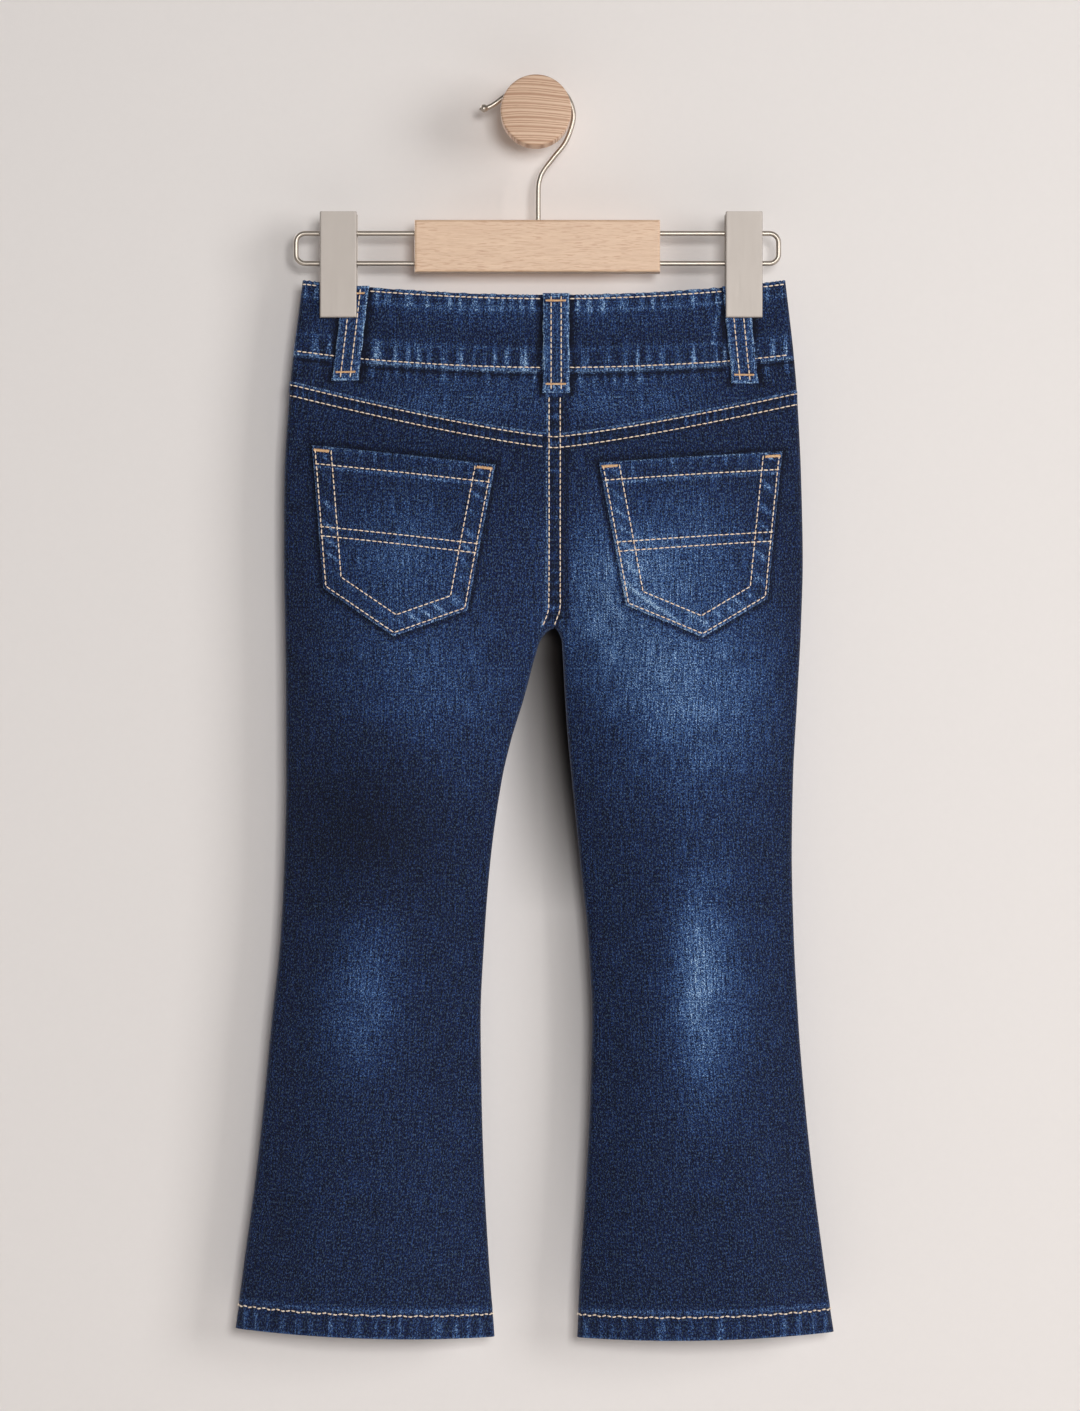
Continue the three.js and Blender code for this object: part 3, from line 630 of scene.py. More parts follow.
class Sewing:
    """Stitches of one kind of thread, gathered into one mesh."""

    def __init__(self):
        self.verts, self.faces = [], []

    def add(self, points, normals, **settings):
        verts, faces = thread_run(np.asarray(points, float), np.asarray(normals, float), **settings)
        first = len(self.verts)
        self.verts += verts
        self.faces += [tuple(first + k for k in face) for face in faces]

    def piece(self, name, material):
        return make_mesh(name, self.verts, self.faces, material)


TACKS = Sewing()


def on_cloth(face, x, z, lift=0.0):
    """Points and outward directions on the cloth, relief included, for arrays of x and z."""
    x, z = np.asarray(x, float), np.asarray(z, float)
    points, normals = np.empty(x.shape + (3,)), np.empty(x.shape + (3,))
    for side in SIDES:
        mask = (x < CENTRE_X) if side == "left" else (x >= CENTRE_X)
        if not mask.any():
            continue
        skin = SKINS[side, face]
        c = skin.across_of(x[mask], z[mask])
        n = outward(skin, c, z[mask])
        points[mask] = skin.at(c, z[mask]) + n * (relief(face, x[mask], z[mask]) + lift)[..., None]
        normals[mask] = n
    return points, normals


# Where each point of a face lies on the cloth, and how far it stands out there

FOLD_CALM = 9
BAND_CREASE = ((101.7, -99.8), (96.8, -126.2))


def arc_share(c):
    """The share of the girth that lies before a place across, as the columns crowd at the folds."""
    return 0.5 - 0.5 * np.cos(math.pi * np.asarray(c, float))


def stand(skin, face, c, x, z):
    """The relief, calm at the folds, where two pieces meet, and under the clips."""
    girth = skin.width(z)
    calm = smooth(arc_share(c) * girth, 0, FOLD_CALM)
    inseam = smooth((1 - arc_share(c)) * girth, 0, FOLD_CALM)
    calm = calm * (1 - (1 - inseam) * smooth(CROTCH_Z - z, -2, 12))
    return relief(face, x, z) * calm * (1 - pinch(x, z))


def worn_at(face, x, z):
    """Lighter streaks on the ridges of the puckers, and the worn edges beside the rows of sewing."""
    total = np.zeros(np.shape(x))
    for off, reach, _, pitch, streaks, seed in sewn_rows(face, x, z):
        total = total + streaks * ridge(x, pitch, seed) * bump(off, reach * 1.1)
    rise = above_hem(x, z)
    total = total + 0.7 * ridge(x, HEM_PITCH, 6) * bump(rise - 6, 6.0) + 0.45 * bump(rise - 15.4, 1.5)
    total = total + 0.5 * bump(rise, 1.2)
    if face == "back":
        (x0, z0), (x1, z1) = BAND_CREASE
        share = np.clip((z0 - z) / (z0 - z1), 0, 1)
        total = total + 0.9 * bump(x - x0 + (x0 - x1) * share, 0.9) * (z < z0 + 1.8) * (z > z1 - 0.8)
    else:
        fly = (z < BAND_SEAM["front"][1]) & (z > CROTCH_Z)
        total = total + fly * 0.5 * bump(x - CENTRE_X + 0.8, 0.9)
    below_top = z - line_at(TOP[face], x)
    scallops = 0.9 + 1.1 * ripple(x, TOP_PITCH, 12)
    total = total + scallops * bump(below_top, 1.5) + 0.35 * bump(below_top + 8.6, 1.3)
    above_seam = z - line_at(BAND_SEAM[face], x)
    return total + 1.1 * bump(above_seam - 0.4, 1.2) + 0.3 * bump(above_seam - 12.5, 1.4)


def row_on_skin(skin, height_at, columns):
    """Places across, x and heights of one row whose height depends on x."""
    c = columns
    z = height_at(np.full(c.shape, float(CENTRE_X)))
    for _ in range(5):
        x = skin.look(skin.x, c, z)
        z = height_at(x)
    return x, z


def cloth_grid(skin, face, rows, columns):
    """A grid of outer points, with the heights of its rows given by functions of x."""
    grid, wear, fade = [], [], []
    for height_at in rows:
        x, z = row_on_skin(skin, height_at, columns)
        out = stand(skin, face, columns, x, z)
        grid.append(skin.at(columns, z) + outward(skin, columns, z) * out[:, None])
        wear.append(worn_at(face, x, z))
        fade.append(fade_and_shade_at(face, x, z))
    return np.array(grid), np.array(wear), np.array(fade)


def run_of(grid, from_column=0):
    """Distance along each row of a grid, from one of its columns."""
    run = np.cumsum(np.linalg.norm(np.diff(grid, axis=1, prepend=grid[:, :1]), axis=2), axis=1)
    return run - run[:, from_column:from_column + 1]


def between(upper, lower, share):
    """The heights of a row that lies between two lines round the body."""
    def height_at(x):
        top = line_at(upper, x) - PIECE_GAP / 2
        return top + (line_at(lower, x) + PIECE_GAP / 2 - top) * share
    return height_at


def make_cloth(name, face, grid, wear, fade, thickness, start=0):
    """A piece of cloth from its outer grid. Its threads run from the start column."""
    depth = np.broadcast_to(np.asarray(thickness, float), grid.shape[:2])[..., None]
    inner = grid - grid_normals(grid, out_of(face)) * depth
    weave = run_of(grid, start), grid[..., 2]
    OUTER[name] = grid
    layers = {"wear": (wear, 0), "fade": (fade, 0), "inside": (0, 1)}
    return double_wall(name, grid, inner, DENIM_CLOTH, weave, **layers)


def make_leg_panel(side, face):
    upper = YOKE_SEAM if face == "back" else BAND_SEAM["front"]
    top, foot = upper[1] - PIECE_GAP / 2, HEM_LINE[1]
    near = np.array([0, 0.15, 0.5, 1.2, 2.2, 3.5, 5, 7, 9.5])
    heights = np.concatenate([
        np.linspace(top, CROTCH_Z + 12, 44), CROTCH_Z + near[::-1], CROTCH_Z - near[1:],
        np.linspace(CROTCH_Z - 12, foot + 20, 150), np.linspace(foot + 19, foot, 22),
    ])

    def row(height):
        def height_at(x):
            share = min(1, max(0, (height - CROTCH_Z) / (top - CROTCH_Z)))
            hem = min(1, max(0, (HEM_FADE - height) / (HEM_FADE - foot)))
            return height + (line_at(upper, x) - upper[1]) * share + (line_at(HEM_LINE, x) - foot) * hem
        return height_at

    grids = cloth_grid(SKINS[side, face], face, [row(h) for h in heights], np.linspace(0, 1, 111))
    thickness = np.where(heights > foot + HEM_HEIGHT, DENIM, HEM_THICK)[:, None]
    return make_cloth(f"cloth_{face}_panel_{side}", face, *grids, thickness)


def make_yoke(side):
    rows = [between(BAND_SEAM["back"], YOKE_SEAM, share) for share in np.linspace(0, 1, 26)]
    grids = cloth_grid(SKINS[side, "back"], "back", rows, np.linspace(0, 1, 121))
    return make_cloth(f"cloth_yoke_{side}", "back", *grids, DENIM)


def band_grids(face, skins):
    """The waistband's outer grids, wear and fade on one face, for each of its skins."""
    shares = np.concatenate([[0, 0.012, 0.03, 0.055], np.linspace(0.08, 1, 32)])
    rows = [between(TOP[face], BAND_SEAM[face], share) for share in shares]
    return [cloth_grid(skin, face, rows, np.linspace(0, 1, 121)) for skin in skins]


def make_back_band():
    """One piece from side to side, so its two halves meet with no gap at the centre."""
    left, right = band_grids("back", [Skin(side, "back", 0) for side in SIDES])
    joined = [np.concatenate([a, b[:, ::-1][:, 1:]], axis=1) for a, b in zip(left, right)]
    round_top(joined[0])
    return make_cloth("cloth_waistband_back", "back", *joined, BAND_THICK, start=120)


def make_front_band(side):
    grids, = band_grids("front", [SKINS[side, "front"]])
    round_top(grids[0])
    return make_cloth(f"cloth_waistband_front_{side}", "front", *grids, BAND_THICK)


def round_top(grid):
    """Turns a folded top edge over by drawing its first rows in, and lets the close stitches scallop it."""
    for row, inset, scallop in ((0, 0.6, 0.4), (1, 0.25, 0.34), (2, 0.05, 0.2)):
        off = HANG_Y - grid[row, :, 1]
        away = smooth(np.abs(off), 0, 3.5)
        grid[row, :, 1] += np.sign(off) * inset * away
        grid[row, :, 2] += scallop * ripple(grid[row, :, 0], TOP_PITCH, 12) * away


# What is sewn on: pockets and belt loops

def mix_points(a, b, share):
    share = np.asarray(share, float)[..., None]
    return np.asarray(a, float) * (1 - share) + np.asarray(b, float) * share


def pocket_outline(side):
    mouth, foot = BACK_POCKETS[side]
    return [mouth[0], foot[0], foot[1], foot[2], mouth[1]]


def edges_of(outline):
    """Each edge's start, direction and inward direction, for a convex outline."""
    centre = np.mean(outline, axis=0)
    for k, a in enumerate(outline):
        run = np.subtract(outline[(k + 1) % len(outline)], a)
        along = run / np.linalg.norm(run)
        normal = np.array([-along[1], along[0]])
        yield a, along, -normal if normal @ (centre - a) < 0 else normal


def edge_distances(outline, x, z):
    """Distance inwards from each edge of a convex outline, the mouth last."""
    return [(x - a[0]) * normal[0] + (z - a[1]) * normal[1] for a, _, normal in edges_of(outline)]


def inset_outline(outline, distances):
    """Corners of an outline whose edges have each moved in by its own distance."""
    lines = [(a + normal * move, along) for (a, along, normal), move in zip(edges_of(outline), distances)]
    corners = []
    for k, (p, d) in enumerate(lines):
        q, e = lines[k - 1]
        share = ((q[0] - p[0]) * e[1] - (q[1] - p[1]) * e[0]) / (d[0] * e[1] - d[1] * e[0])
        corners.append(p + share * d)
    return corners


# Felled seams: height above the cloth and depth below it, width of the rounded edge, and where the two rows
# of sewing press in. Then the two edges of each seam, from its line, and the outer ends of the yokes' seam
FELL, SUNK = 0.55, 0.3
FELL_TURN = 0.7
FELL_ROWS = (2.1, 8.0)
YOKE_FELL = (2.3, -7.6)
CENTRE_FELL = (-4.7, 5.0)
YOKE_FELL_ENDS = {"left": -136.9, "right": 145.0}


def strip_shares(count):
    """Places across a strip, closer at its edges."""
    near = np.array([0, 0.03, 0.08, 0.15])
    return np.concatenate([near, np.linspace(0.22, 0.78, count), 1 - near[::-1]])


def make_fell(name, x, z, across, width, pull):
    """A flat-felled seam: a doubled strip that lies over the join. Its upper or left edge is worn."""
    base, normals = on_cloth("back", x, z)
    near, far = across * width, (1 - across) * width
    edge = np.minimum(across, 1 - across) * width
    rise = FELL * np.sqrt(np.clip(edge / FELL_TURN, 0, 1)) * smooth(far, 0, 2.4)
    for row in FELL_ROWS:
        rise = rise - 0.12 * bump(near - row, 0.6)
    rise = rise + 0.12 * pull * bump(edge - 4.5, 2.5)
    wear = 1.1 * bump(near, 1.2) + 0.55 * np.clip(pull, 0, 1) * bump(near - 5, 2.8)
    dark = 0.35 + 0.5 * bump(near - 3.4, 1.2) + 0.5 * bump(far - 1.0, 1.2)
    fade = 0.2 - dark * (0.6 - 0.4 * pull)
    layers = {"wear": (wear, wear), "fade": (fade, fade), "inside": (0, 0)}
    outer, inner = base + normals * rise[..., None], base - normals * SUNK
    return double_wall(name, outer, inner, DENIM_CLOTH, (x + 51.3, z + 23.7), **layers)


def make_yoke_fell(side):
    high, low = YOKE_FELL
    reach = sorted((YOKE_FELL_ENDS[side], CENTRE_X + CENTRE_FELL[0] + 0.6))
    share, x = np.meshgrid(strip_shares(9), np.linspace(*reach, 150))
    z = line_at(YOKE_SEAM, x) + high + (low - high) * share
    return make_fell(f"yoke_seam_{side}", x, z, share, high - low, ripple(x, 4.6, 4))


def make_centre_fell():
    start, end = CENTRE_FELL
    share, z = np.meshgrid(strip_shares(9), np.linspace(-153.0, CROTCH_Z + 0.6, 110))
    x = CENTRE_X + start + (end - start) * share - 2.6 * smooth(z, CROTCH_Z + 16, CROTCH_Z) ** 2
    return make_fell("centre_seam", x, z, share, end - start, ripple(z, 6.5, 5))


# Pockets: how deep the hem and the turned-in edges are, and how far in the rows of sewing lie
POCKET_HEM = 10.4
POCKET_TURN = 11.0
POCKET_ROWS = (1.9, POCKET_TURN - 0.4)
POCKET_MOUTH_ROW = POCKET_HEM - 0.4
POCKET_LEVEL_ROWS = (44.0, 49.0)


def pocket_lift(side, x, z):
    """How far a pocket's outer side lies off the panel, and its wear."""
    distances = edge_distances(pocket_outline(side), x, z)
    mouth, rim = distances[-1], np.minimum.reduce(distances[:-1])
    pull = ripple(z * 0.8 + x * 0.6, 7.5, 8 if side == "left" else 9)
    lift = PIECE_GAP + POCKET_THICK * (0.3 + 0.7 * np.sqrt(np.clip(np.minimum(mouth, rim) / 1.3, 0, 1)))
    lift = lift + 0.4 * (1 - smooth(mouth, POCKET_HEM, POCKET_HEM + 1.4))
    lift = lift + 0.3 * (1 - smooth(rim, POCKET_TURN, POCKET_TURN + 1.6))
    lift = lift + 0.3 * pull * bump(rim - 6, 4.5) * smooth(mouth, 8, 14)
    lift = lift + 0.12 * ripple(x, 6.5, 10) * bump(mouth - 5, 5)
    for row in POCKET_ROWS:
        lift = lift - 0.22 * bump(rim - row, 0.7)
    lift = lift - 0.2 * bump(mouth - POCKET_MOUTH_ROW, 0.8)
    lift = lift + 1.0 * bump(mouth, 30) * bump(rim - 45, 26)
    wear = 1.2 * bump(rim, 0.85) + 0.95 * bump(mouth, 1.5) + 1.1 * np.clip(pull, 0, 1) * bump(rim - 6.4, 3.4)
    wear = wear + 0.6 * bump(mouth - POCKET_HEM - 1.2, 1.0)
    wear = wear + 0.45 * ridge(x, 6.5, 10) * bump(mouth - 4, 4) - 0.1 * bump(rim - 6, 4)
    return lift, wear


def make_pocket(side):
    mouth, (left, tip, right) = BACK_POCKETS[side]
    near = np.array([0, 0.003, 0.008, 0.015, 0.025])
    shares = np.concatenate([near, np.linspace(0.036, 0.464, 36), 0.5 - near[::-1][:-1], [0.5]])
    u = np.concatenate([shares, 1 - shares[::-1][1:]])
    v = np.concatenate([near, np.linspace(0.036, 0.964, 82), 1 - near[::-1]])
    u, v = np.meshgrid(u, v)
    foot = np.where((u < 0.5)[..., None], mix_points(left, tip, 2 * u), mix_points(tip, right, 2 * u - 1))
    flat = mix_points(mix_points(*mouth, u), foot, v)
    x, z = flat[..., 0], flat[..., 1]
    lift, wear = pocket_lift(side, x, z)
    base, normals = on_cloth("back", x, z)
    fade = fade_and_shade_at("back", x, z) * 1.1 + 0.16 * bump(z - np.mean(z), 34) * bump(x - np.mean(x), 34)
    layers = {"wear": (wear, wear), "fade": (fade, 0), "inside": (0, 0)}
    outer, inner = base + normals * lift[..., None], base + normals * PIECE_GAP
    name = f"cloth_back_pocket_{side}"
    OUTER[name] = outer
    return double_wall(name, outer, inner, DENIM_CLOTH, (x + 31.7, z + 11.3), **layers)


def loop_lift(v, x, z):
    """How far a belt loop's inner side stands off the cloth, at a share of its length."""
    return PIECE_GAP + 0.5 * np.sin(math.pi * v) * (1 - pinch(x, z))


def make_loop(loop):
    face, top, foot = BELT_LOOPS[loop]
    side, end = np.array([0, 0.02, 0.06, 0.12, 0.22, 0.32, 0.42]), np.array([0, 0.008, 0.02, 0.04])
    across = np.concatenate([side, [0.5], 1 - side[::-1]])
    u, v = np.meshgrid(across, np.concatenate([end, np.linspace(0.06, 0.94, 44), 1 - end[::-1]]))
    middle = mix_points(top, foot, v)
    flare = 1 + 0.06 * bump(1 - v, 0.06) + 0.03 * ripple(v * LOOP_RUN, 9, 3)
    x, z = middle[..., 0] + (u - 0.5) * LOOP_WIDTH * flare, middle[..., 1]
    edge = np.minimum(np.minimum(u, 1 - u) * LOOP_WIDTH, np.minimum(v, 1 - v) * LOOP_RUN)
    row = np.abs((u - 0.5) * LOOP_WIDTH) - LOOP_ROW
    thick = LOOP_THICK * (0.45 + 0.55 * np.sqrt(np.clip(edge / 1.2, 0, 1)))
    thick = thick - 0.16 * bump(row, 0.6) + 0.14 * ripple(z, 4.2, 4) * bump(edge - 2.5, 2.2)
    wear = 1.0 * bump(edge, 1.0) + 0.55 * ridge(z, 4.2, 4) * bump(edge - 2.6, 2.4) + 0.12
    base, normals = on_cloth(face, x, z)
    lift = loop_lift(v, x, z)
    outer, inner = base + normals * (lift + thick)[..., None], base + normals * lift[..., None]
    layers = {"wear": (wear, wear), "fade": (0.2, 0.2), "inside": (0, 0)}
    OUTER[f"cloth_{loop}"] = outer
    return double_wall(f"cloth_{loop}", outer, inner, DENIM_CLOTH, (x + 7.1, z + 3.9), **layers)


# Sewing

def line_run(face, line, offset, x0, x1, cloth_lift=0.0, step=2.0):
    """Points and directions along a line round the body, moved up or down by an offset."""
    x = np.arange(x0, x1, step)
    return on_cloth(face, x, line_at(line, x) + offset, cloth_lift)


def straight_run(face, a, b, lift=0.0, step=1.5):
    """Points and directions from a to b. The lift is a number or a function of x and z."""
    count = max(2, int(math.dist(a, b) / step) + 1)
    flat = mix_points(a, b, np.linspace(0, 1, count))
    lifts = lift(flat[:, 0], flat[:, 1]) if callable(lift) else lift
    points, normals = on_cloth(face, flat[:, 0], flat[:, 1])
    return points + normals * np.broadcast_to(lifts, (count,))[:, None], normals


def bar_tack(face, a, b, height, lift, spacing=0.42):
    """A dense bar of short crossing stitches from a to b."""
    run = math.dist(a, b)
    along = np.subtract(b, a) / run
    across = np.array([-along[1], along[0]])
    for k in range(int(run / spacing) + 1):
        middle = np.add(a, along * k * spacing)
        slant = along * 0.2 * (1 if k % 2 else -1)
        reach = height / 2 * random.uniform(0.85, 1.1)
        ends = middle - across * reach - slant, middle + across * reach + slant
        TACKS.add(*straight_run(face, *ends, lift), pitch=height * 1.5, fill=1.0, wobble=0)


# Where the rows round the body are seen on the back, between the belt loops, the clips and the folds
BAND_RUNS = ((-131.6, -106.6), (-97.4, 4.4), (18.0, 109.6), (117.9, 139.6))
TOP_RUNS = ((-130.4, -119.4), (-91.4, 4.4), (18.2, 103.8), (124.4, 137.2))
YOKE_ENDS = (-136.2, 144.2)


def sew_back(sewing):
    for run in BAND_RUNS:
        sewing.add(*line_run("back", BAND_SEAM["back"], BAND_ROW, *run))
    for run in TOP_RUNS:
        sewing.add(*line_run("back", TOP["back"], TOP_ROW, *run))
    middle = CENTRE_X + CENTRE_FELL[0]
    for off in YOKE_ROWS:
        sewing.add(*line_run("back", YOKE_SEAM, off, YOKE_ENDS[0], middle - 0.4, FELL - 0.12))
        sewing.add(*line_run("back", YOKE_SEAM, off, middle + 0.8, YOKE_ENDS[1], FELL + 0.1))
    for off in CENTRE_ROWS:
        z = np.arange(-156.2, CROTCH_Z + 1.2, -1.5)
        x = CENTRE_X + off - 3.4 * smooth(z, CROTCH_Z + 16, CROTCH_Z) ** 2
        fell = FELL + 0.35 * bump(z - (YOKE_SEAM[1] - 2.7), 5.5) - 0.1
        points, normals = on_cloth("back", x, z)
        sewing.add(points + normals * fell[:, None], normals)


def sew_pockets(sewing):
    for side in SIDES:
        outline = pocket_outline(side)

        def lift(x, z, side=side):
            return pocket_lift(side, x, z)[0]

        for rim in POCKET_ROWS:
            corners = inset_outline(outline, [rim] * 4 + [1.6])
            for a, b in zip(corners[:4], corners[1:]):
                sewing.add(*straight_run("back", a, b, lift))
        for depth in (POCKET_MOUTH_ROW, *POCKET_LEVEL_ROWS):
            row = inset_outline(outline, [0.8] * 4 + [depth])
            sewing.add(*straight_run("back", row[0], row[-1], lift))
        inner, outer = (inset_outline(outline, [rim] * 4 + [2.6]) for rim in (9.4, 1.4))
        for end in (0, -1):
            bar_tack("back", outer[end], inner[end], 1.7, lift)


def sew_loops(sewing):
    for face, top, foot in BELT_LOOPS.values():
        run = math.dist(top, foot)

        def lift(x, z, top=top, foot=foot):
            v = np.clip((top[1] - z) / (top[1] - foot[1]), 0, 1)
            return loop_lift(v, x, z) + LOOP_THICK - 0.16

        for off in (-LOOP_ROW, LOOP_ROW):
            a, b = (np.add(mix_points(top, foot, v), (off, 0)) for v in (1.5 / run, 1 - 1.5 / run))
            sewing.add(*straight_run(face, a, b, lift))
        for v in (4.2 / run, 1 - 4.6 / run):
            middle = mix_points(top, foot, v)
            bar_tack(face, middle - (5.4, 0), middle + (5.4, 0), 1.3, lift)


# The front: where the waistband's rows end, how far left of the centre the seam's and the fly's rows run,
# and the heights between which the fly's rows turn in
FRONT_ENDS = (-131.5, 139.5)
FRONT_SEAM_ROWS = (2.2, 7.6)
FLY_ROWS = (22, 27.5)
FLY_TURN, FLY_END = -205, -236
FLY_TACK = ((-9.4, -232), (-2.0, -239))


def sew_front(sewing):
    seam = BAND_SEAM["front"]
    for x0, x1 in ((FRONT_ENDS[0], CENTRE_X - 1.2), (CENTRE_X + 1.2, FRONT_ENDS[1])):
        sewing.add(*line_run("front", seam, BAND_ROW, x0, x1))
        sewing.add(*line_run("front", TOP["front"], TOP_ROW, x0 + 1.2, x1 - 1.2))
    for off in FRONT_SEAM_ROWS:
        x = CENTRE_X - off
        sewing.add(*straight_run("front", (x, seam[1] - 1.5), (x, CROTCH_Z + 4)))
    for off in FLY_ROWS:
        z = np.arange(seam[1] - 1.5, FLY_END, -1.5)
        turn = smooth(z, FLY_TURN, FLY_END - 1) ** 1.5
        sewing.add(*on_cloth("front", CENTRE_X - off + (off - 8.5) * turn, z))
    bar_tack("front", *((CENTRE_X + x, z) for x, z in FLY_TACK), 1.5, 0.0)


def sew_hems(sewing):
    for face in FACES:
        for side in SIDES:
            skin = SKINS[side, face]
            c = np.linspace(0.02, 0.98, 130)
            x, z = row_on_skin(skin, lambda x: line_at(HEM_LINE, x) + HEM_ROW, c)
            normals = outward(skin, c, z)
            points = skin.at(c, z) + normals * stand(skin, face, c, x, z)[:, None]
            points[:, 2] += 0.35 * np.sin(np.arange(len(c)) * 1.1)
            sewing.add(points, normals, pitch=3.0, fill=0.82, radius=HEM_THREAD)


# Metal and wood

def ring_quads(count, sides):
    """Quads between rings of points that follow each other."""
    index = np.arange(count * sides).reshape(count, sides)
    right = np.roll(index, -1, axis=1)
    return np.stack([index[:-1], right[:-1], right[1:], index[1:]], -1).reshape(-1, 4)


def tube(name, path, radius, sides, material):
    """A round rod along a path, with rounded ends. The radius may change along it."""
    path = np.asarray(path, float)
    tangents = unit(np.gradient(path, axis=0))
    across = np.cross(tangents[0], (0, 1, 0) if abs(tangents[0][1]) < 0.9 else (1, 0, 0))
    a = np.linspace(0, 2 * math.pi, sides, endpoint=False)[:, None]
    rings = []
    for p, t, r in zip(path, tangents, np.broadcast_to(radius, (len(path),))):
        across = across - t * (across @ t)
        across /= np.linalg.norm(across)
        rings.append((p, t * r * 0.9, (np.cos(a) * across + np.sin(a) * np.cross(t, across)) * r))
    (start, start_cap, first), (end, end_cap, last) = rings[0], rings[-1]
    shares = (0.02, 0.0), (0.5, 0.5), (0.87, 0.87)
    points = [start - start_cap * (1 - drop) + first * share for share, drop in shares]
    points += [p + ring for p, _, ring in rings]
    points += [end + end_cap * (1 - drop) + last * share for share, drop in shares[::-1]]
    count = len(points)
    faces = ring_quads(count, sides).tolist()
    for ring in (list(range(sides)), list(range(count * sides - 1, (count - 1) * sides - 1, -1))):
        faces += [(ring[0], ring[k], ring[k + 1], ring[k + 2]) for k in range(1, sides - 2, 2)]
    PIECES[name] = make_mesh(name, np.concatenate(points), faces, material)
    return PIECES[name]


def even_run(line, count):
    """The same line, evenly sampled."""
    run = np.concatenate([[0], np.cumsum(np.linalg.norm(np.diff(line, axis=0), axis=1))])
    even = np.linspace(0, run[-1], count)
    return np.stack([np.interp(even, run, line[:, i]) for i in range(3)], -1)


def spline(points, steps):
    """A smooth curve through points, evenly sampled."""
    points = np.asarray(points, float)
    ends = np.concatenate([[2 * points[0] - points[1]], points, [2 * points[-1] - points[-2]]])
    gaps = np.maximum(np.linalg.norm(np.diff(ends, axis=0), axis=1), 1e-6) ** 0.5
    knots = np.concatenate([[0], np.cumsum(gaps)])
    result = []
    for k in range(1, len(ends) - 2):
        t0, t1, t2, t3 = knots[k - 1:k + 3]
        t = np.linspace(t1, t2, 24, endpoint=k == len(ends) - 3)[:, None]
        p0, p1, p2, p3 = ends[k - 1:k + 3]
        a = p0 * (t1 - t) / (t1 - t0) + p1 * (t - t0) / (t1 - t0)
        b = p1 * (t2 - t) / (t2 - t1) + p2 * (t - t1) / (t2 - t1)
        c = p2 * (t3 - t) / (t3 - t2) + p3 * (t - t2) / (t3 - t2)
        d = a * (t2 - t) / (t2 - t0) + b * (t - t0) / (t2 - t0)
        e = b * (t3 - t) / (t3 - t1) + c * (t - t1) / (t3 - t1)
        result.append(d * (t2 - t) / (t2 - t1) + e * (t - t1) / (t2 - t1))
    return even_run(np.concatenate(result), steps)


def in_plane(points):
    """Points of (x, z) in the plane that the hanger and the cloth hang in."""
    return [(x, HANG_Y, z) for x, z in points]


# The hanger: the block is a solid, and the rest is made here round the same lines
BLOCK = {"x": 0.7, "width": 134.8, "top": -58.0}
RAIL = {"top": -64.9, "bottom": -81.4, "reach": 132.7, "corner": 5.0, "radius": 1.4}
HOOK_STEM = [(1.2, -46.0), (1.5, -37.5), (3.4, -31.6), (9.5, -23.4), (16.4, -14.4)]
HOOK_BEND = {"x": 0.8, "z": -0.8, "radius": 19.8, "from": -2, "to": 132}
HOOK_END = [(-18.4, 9.7), (-22.6, 6.5), (-26.4, 4.4), (-29.3, 3.8)]
HOOK_BALL = {"radius": 2.4, "proud": 0.85}
CLIP = {"width": 20.2, "top": -53.6, "bottom": -111.9, "inside": 6.5, "metal": 1.2, "corner": 0.6}
JAW = {"back": 6.1, "front": 4.3, "height": 3.4}
EAR = {"radius": 5.6, "half": 9, "metal": 0.8}
EAR_INSET = {"back": 0.35, "front": 1.5}
EAR_TIP = {"back": 0.9, "front": 1.4}
SPRING = {"radius": 5.5, "wire": 0.6, "length": 11.4, "turns": 8}
PIN = {"reach": 8.2, "radius": 1.3, "z": (RAIL["top"] + RAIL["bottom"]) / 2}


def make_hook(material):
    """The hook's wire from the block to the small ball at its tip."""
    stem = HOOK_STEM[0][0]
    points = [(stem, BLOCK["top"] - 3), (stem, BLOCK["top"])] + HOOK_STEM
    for turn in np.radians(np.linspace(HOOK_BEND["from"], HOOK_BEND["to"], 9)):
        reach = HOOK_BEND["radius"]
        points.append((HOOK_BEND["x"] + reach * math.cos(turn), HOOK_BEND["z"] + reach * math.sin(turn)))
    path = spline(in_plane(points + HOOK_END), 260)
    left = np.linalg.norm(path - path[-1], axis=1) / HOOK_BALL["radius"]
    radius = RAIL["radius"] + HOOK_BALL["proud"] * np.sqrt(np.clip(1 - left ** 2, 0, 1))
    return tube("wire_hook", path, radius, 24, material)


def make_rail(side, material):
    """One wire with a U-shaped end, whose two ends go into the block."""
    sign, corner = sign_of(side), RAIL["corner"]
    start = BLOCK["x"] + sign * (BLOCK["width"] / 2 - 10)
    bend = BLOCK["x"] + sign * (RAIL["reach"] - corner)
    points = [(start, RAIL["top"])]
    for middle_z, a0, a1 in ((RAIL["top"] - corner, 90, 0), (RAIL["bottom"] + corner, 0, -90)):
        for a in np.radians(np.linspace(a0, a1, 14)):
            points.append((bend + sign * corner * math.cos(a), middle_z + corner * math.sin(a)))
    points.append((start, RAIL["bottom"]))
    return tube(f"wire_rail_{side}", even_run(np.array(in_plane(points)), 200), RAIL["radius"], 20, material)


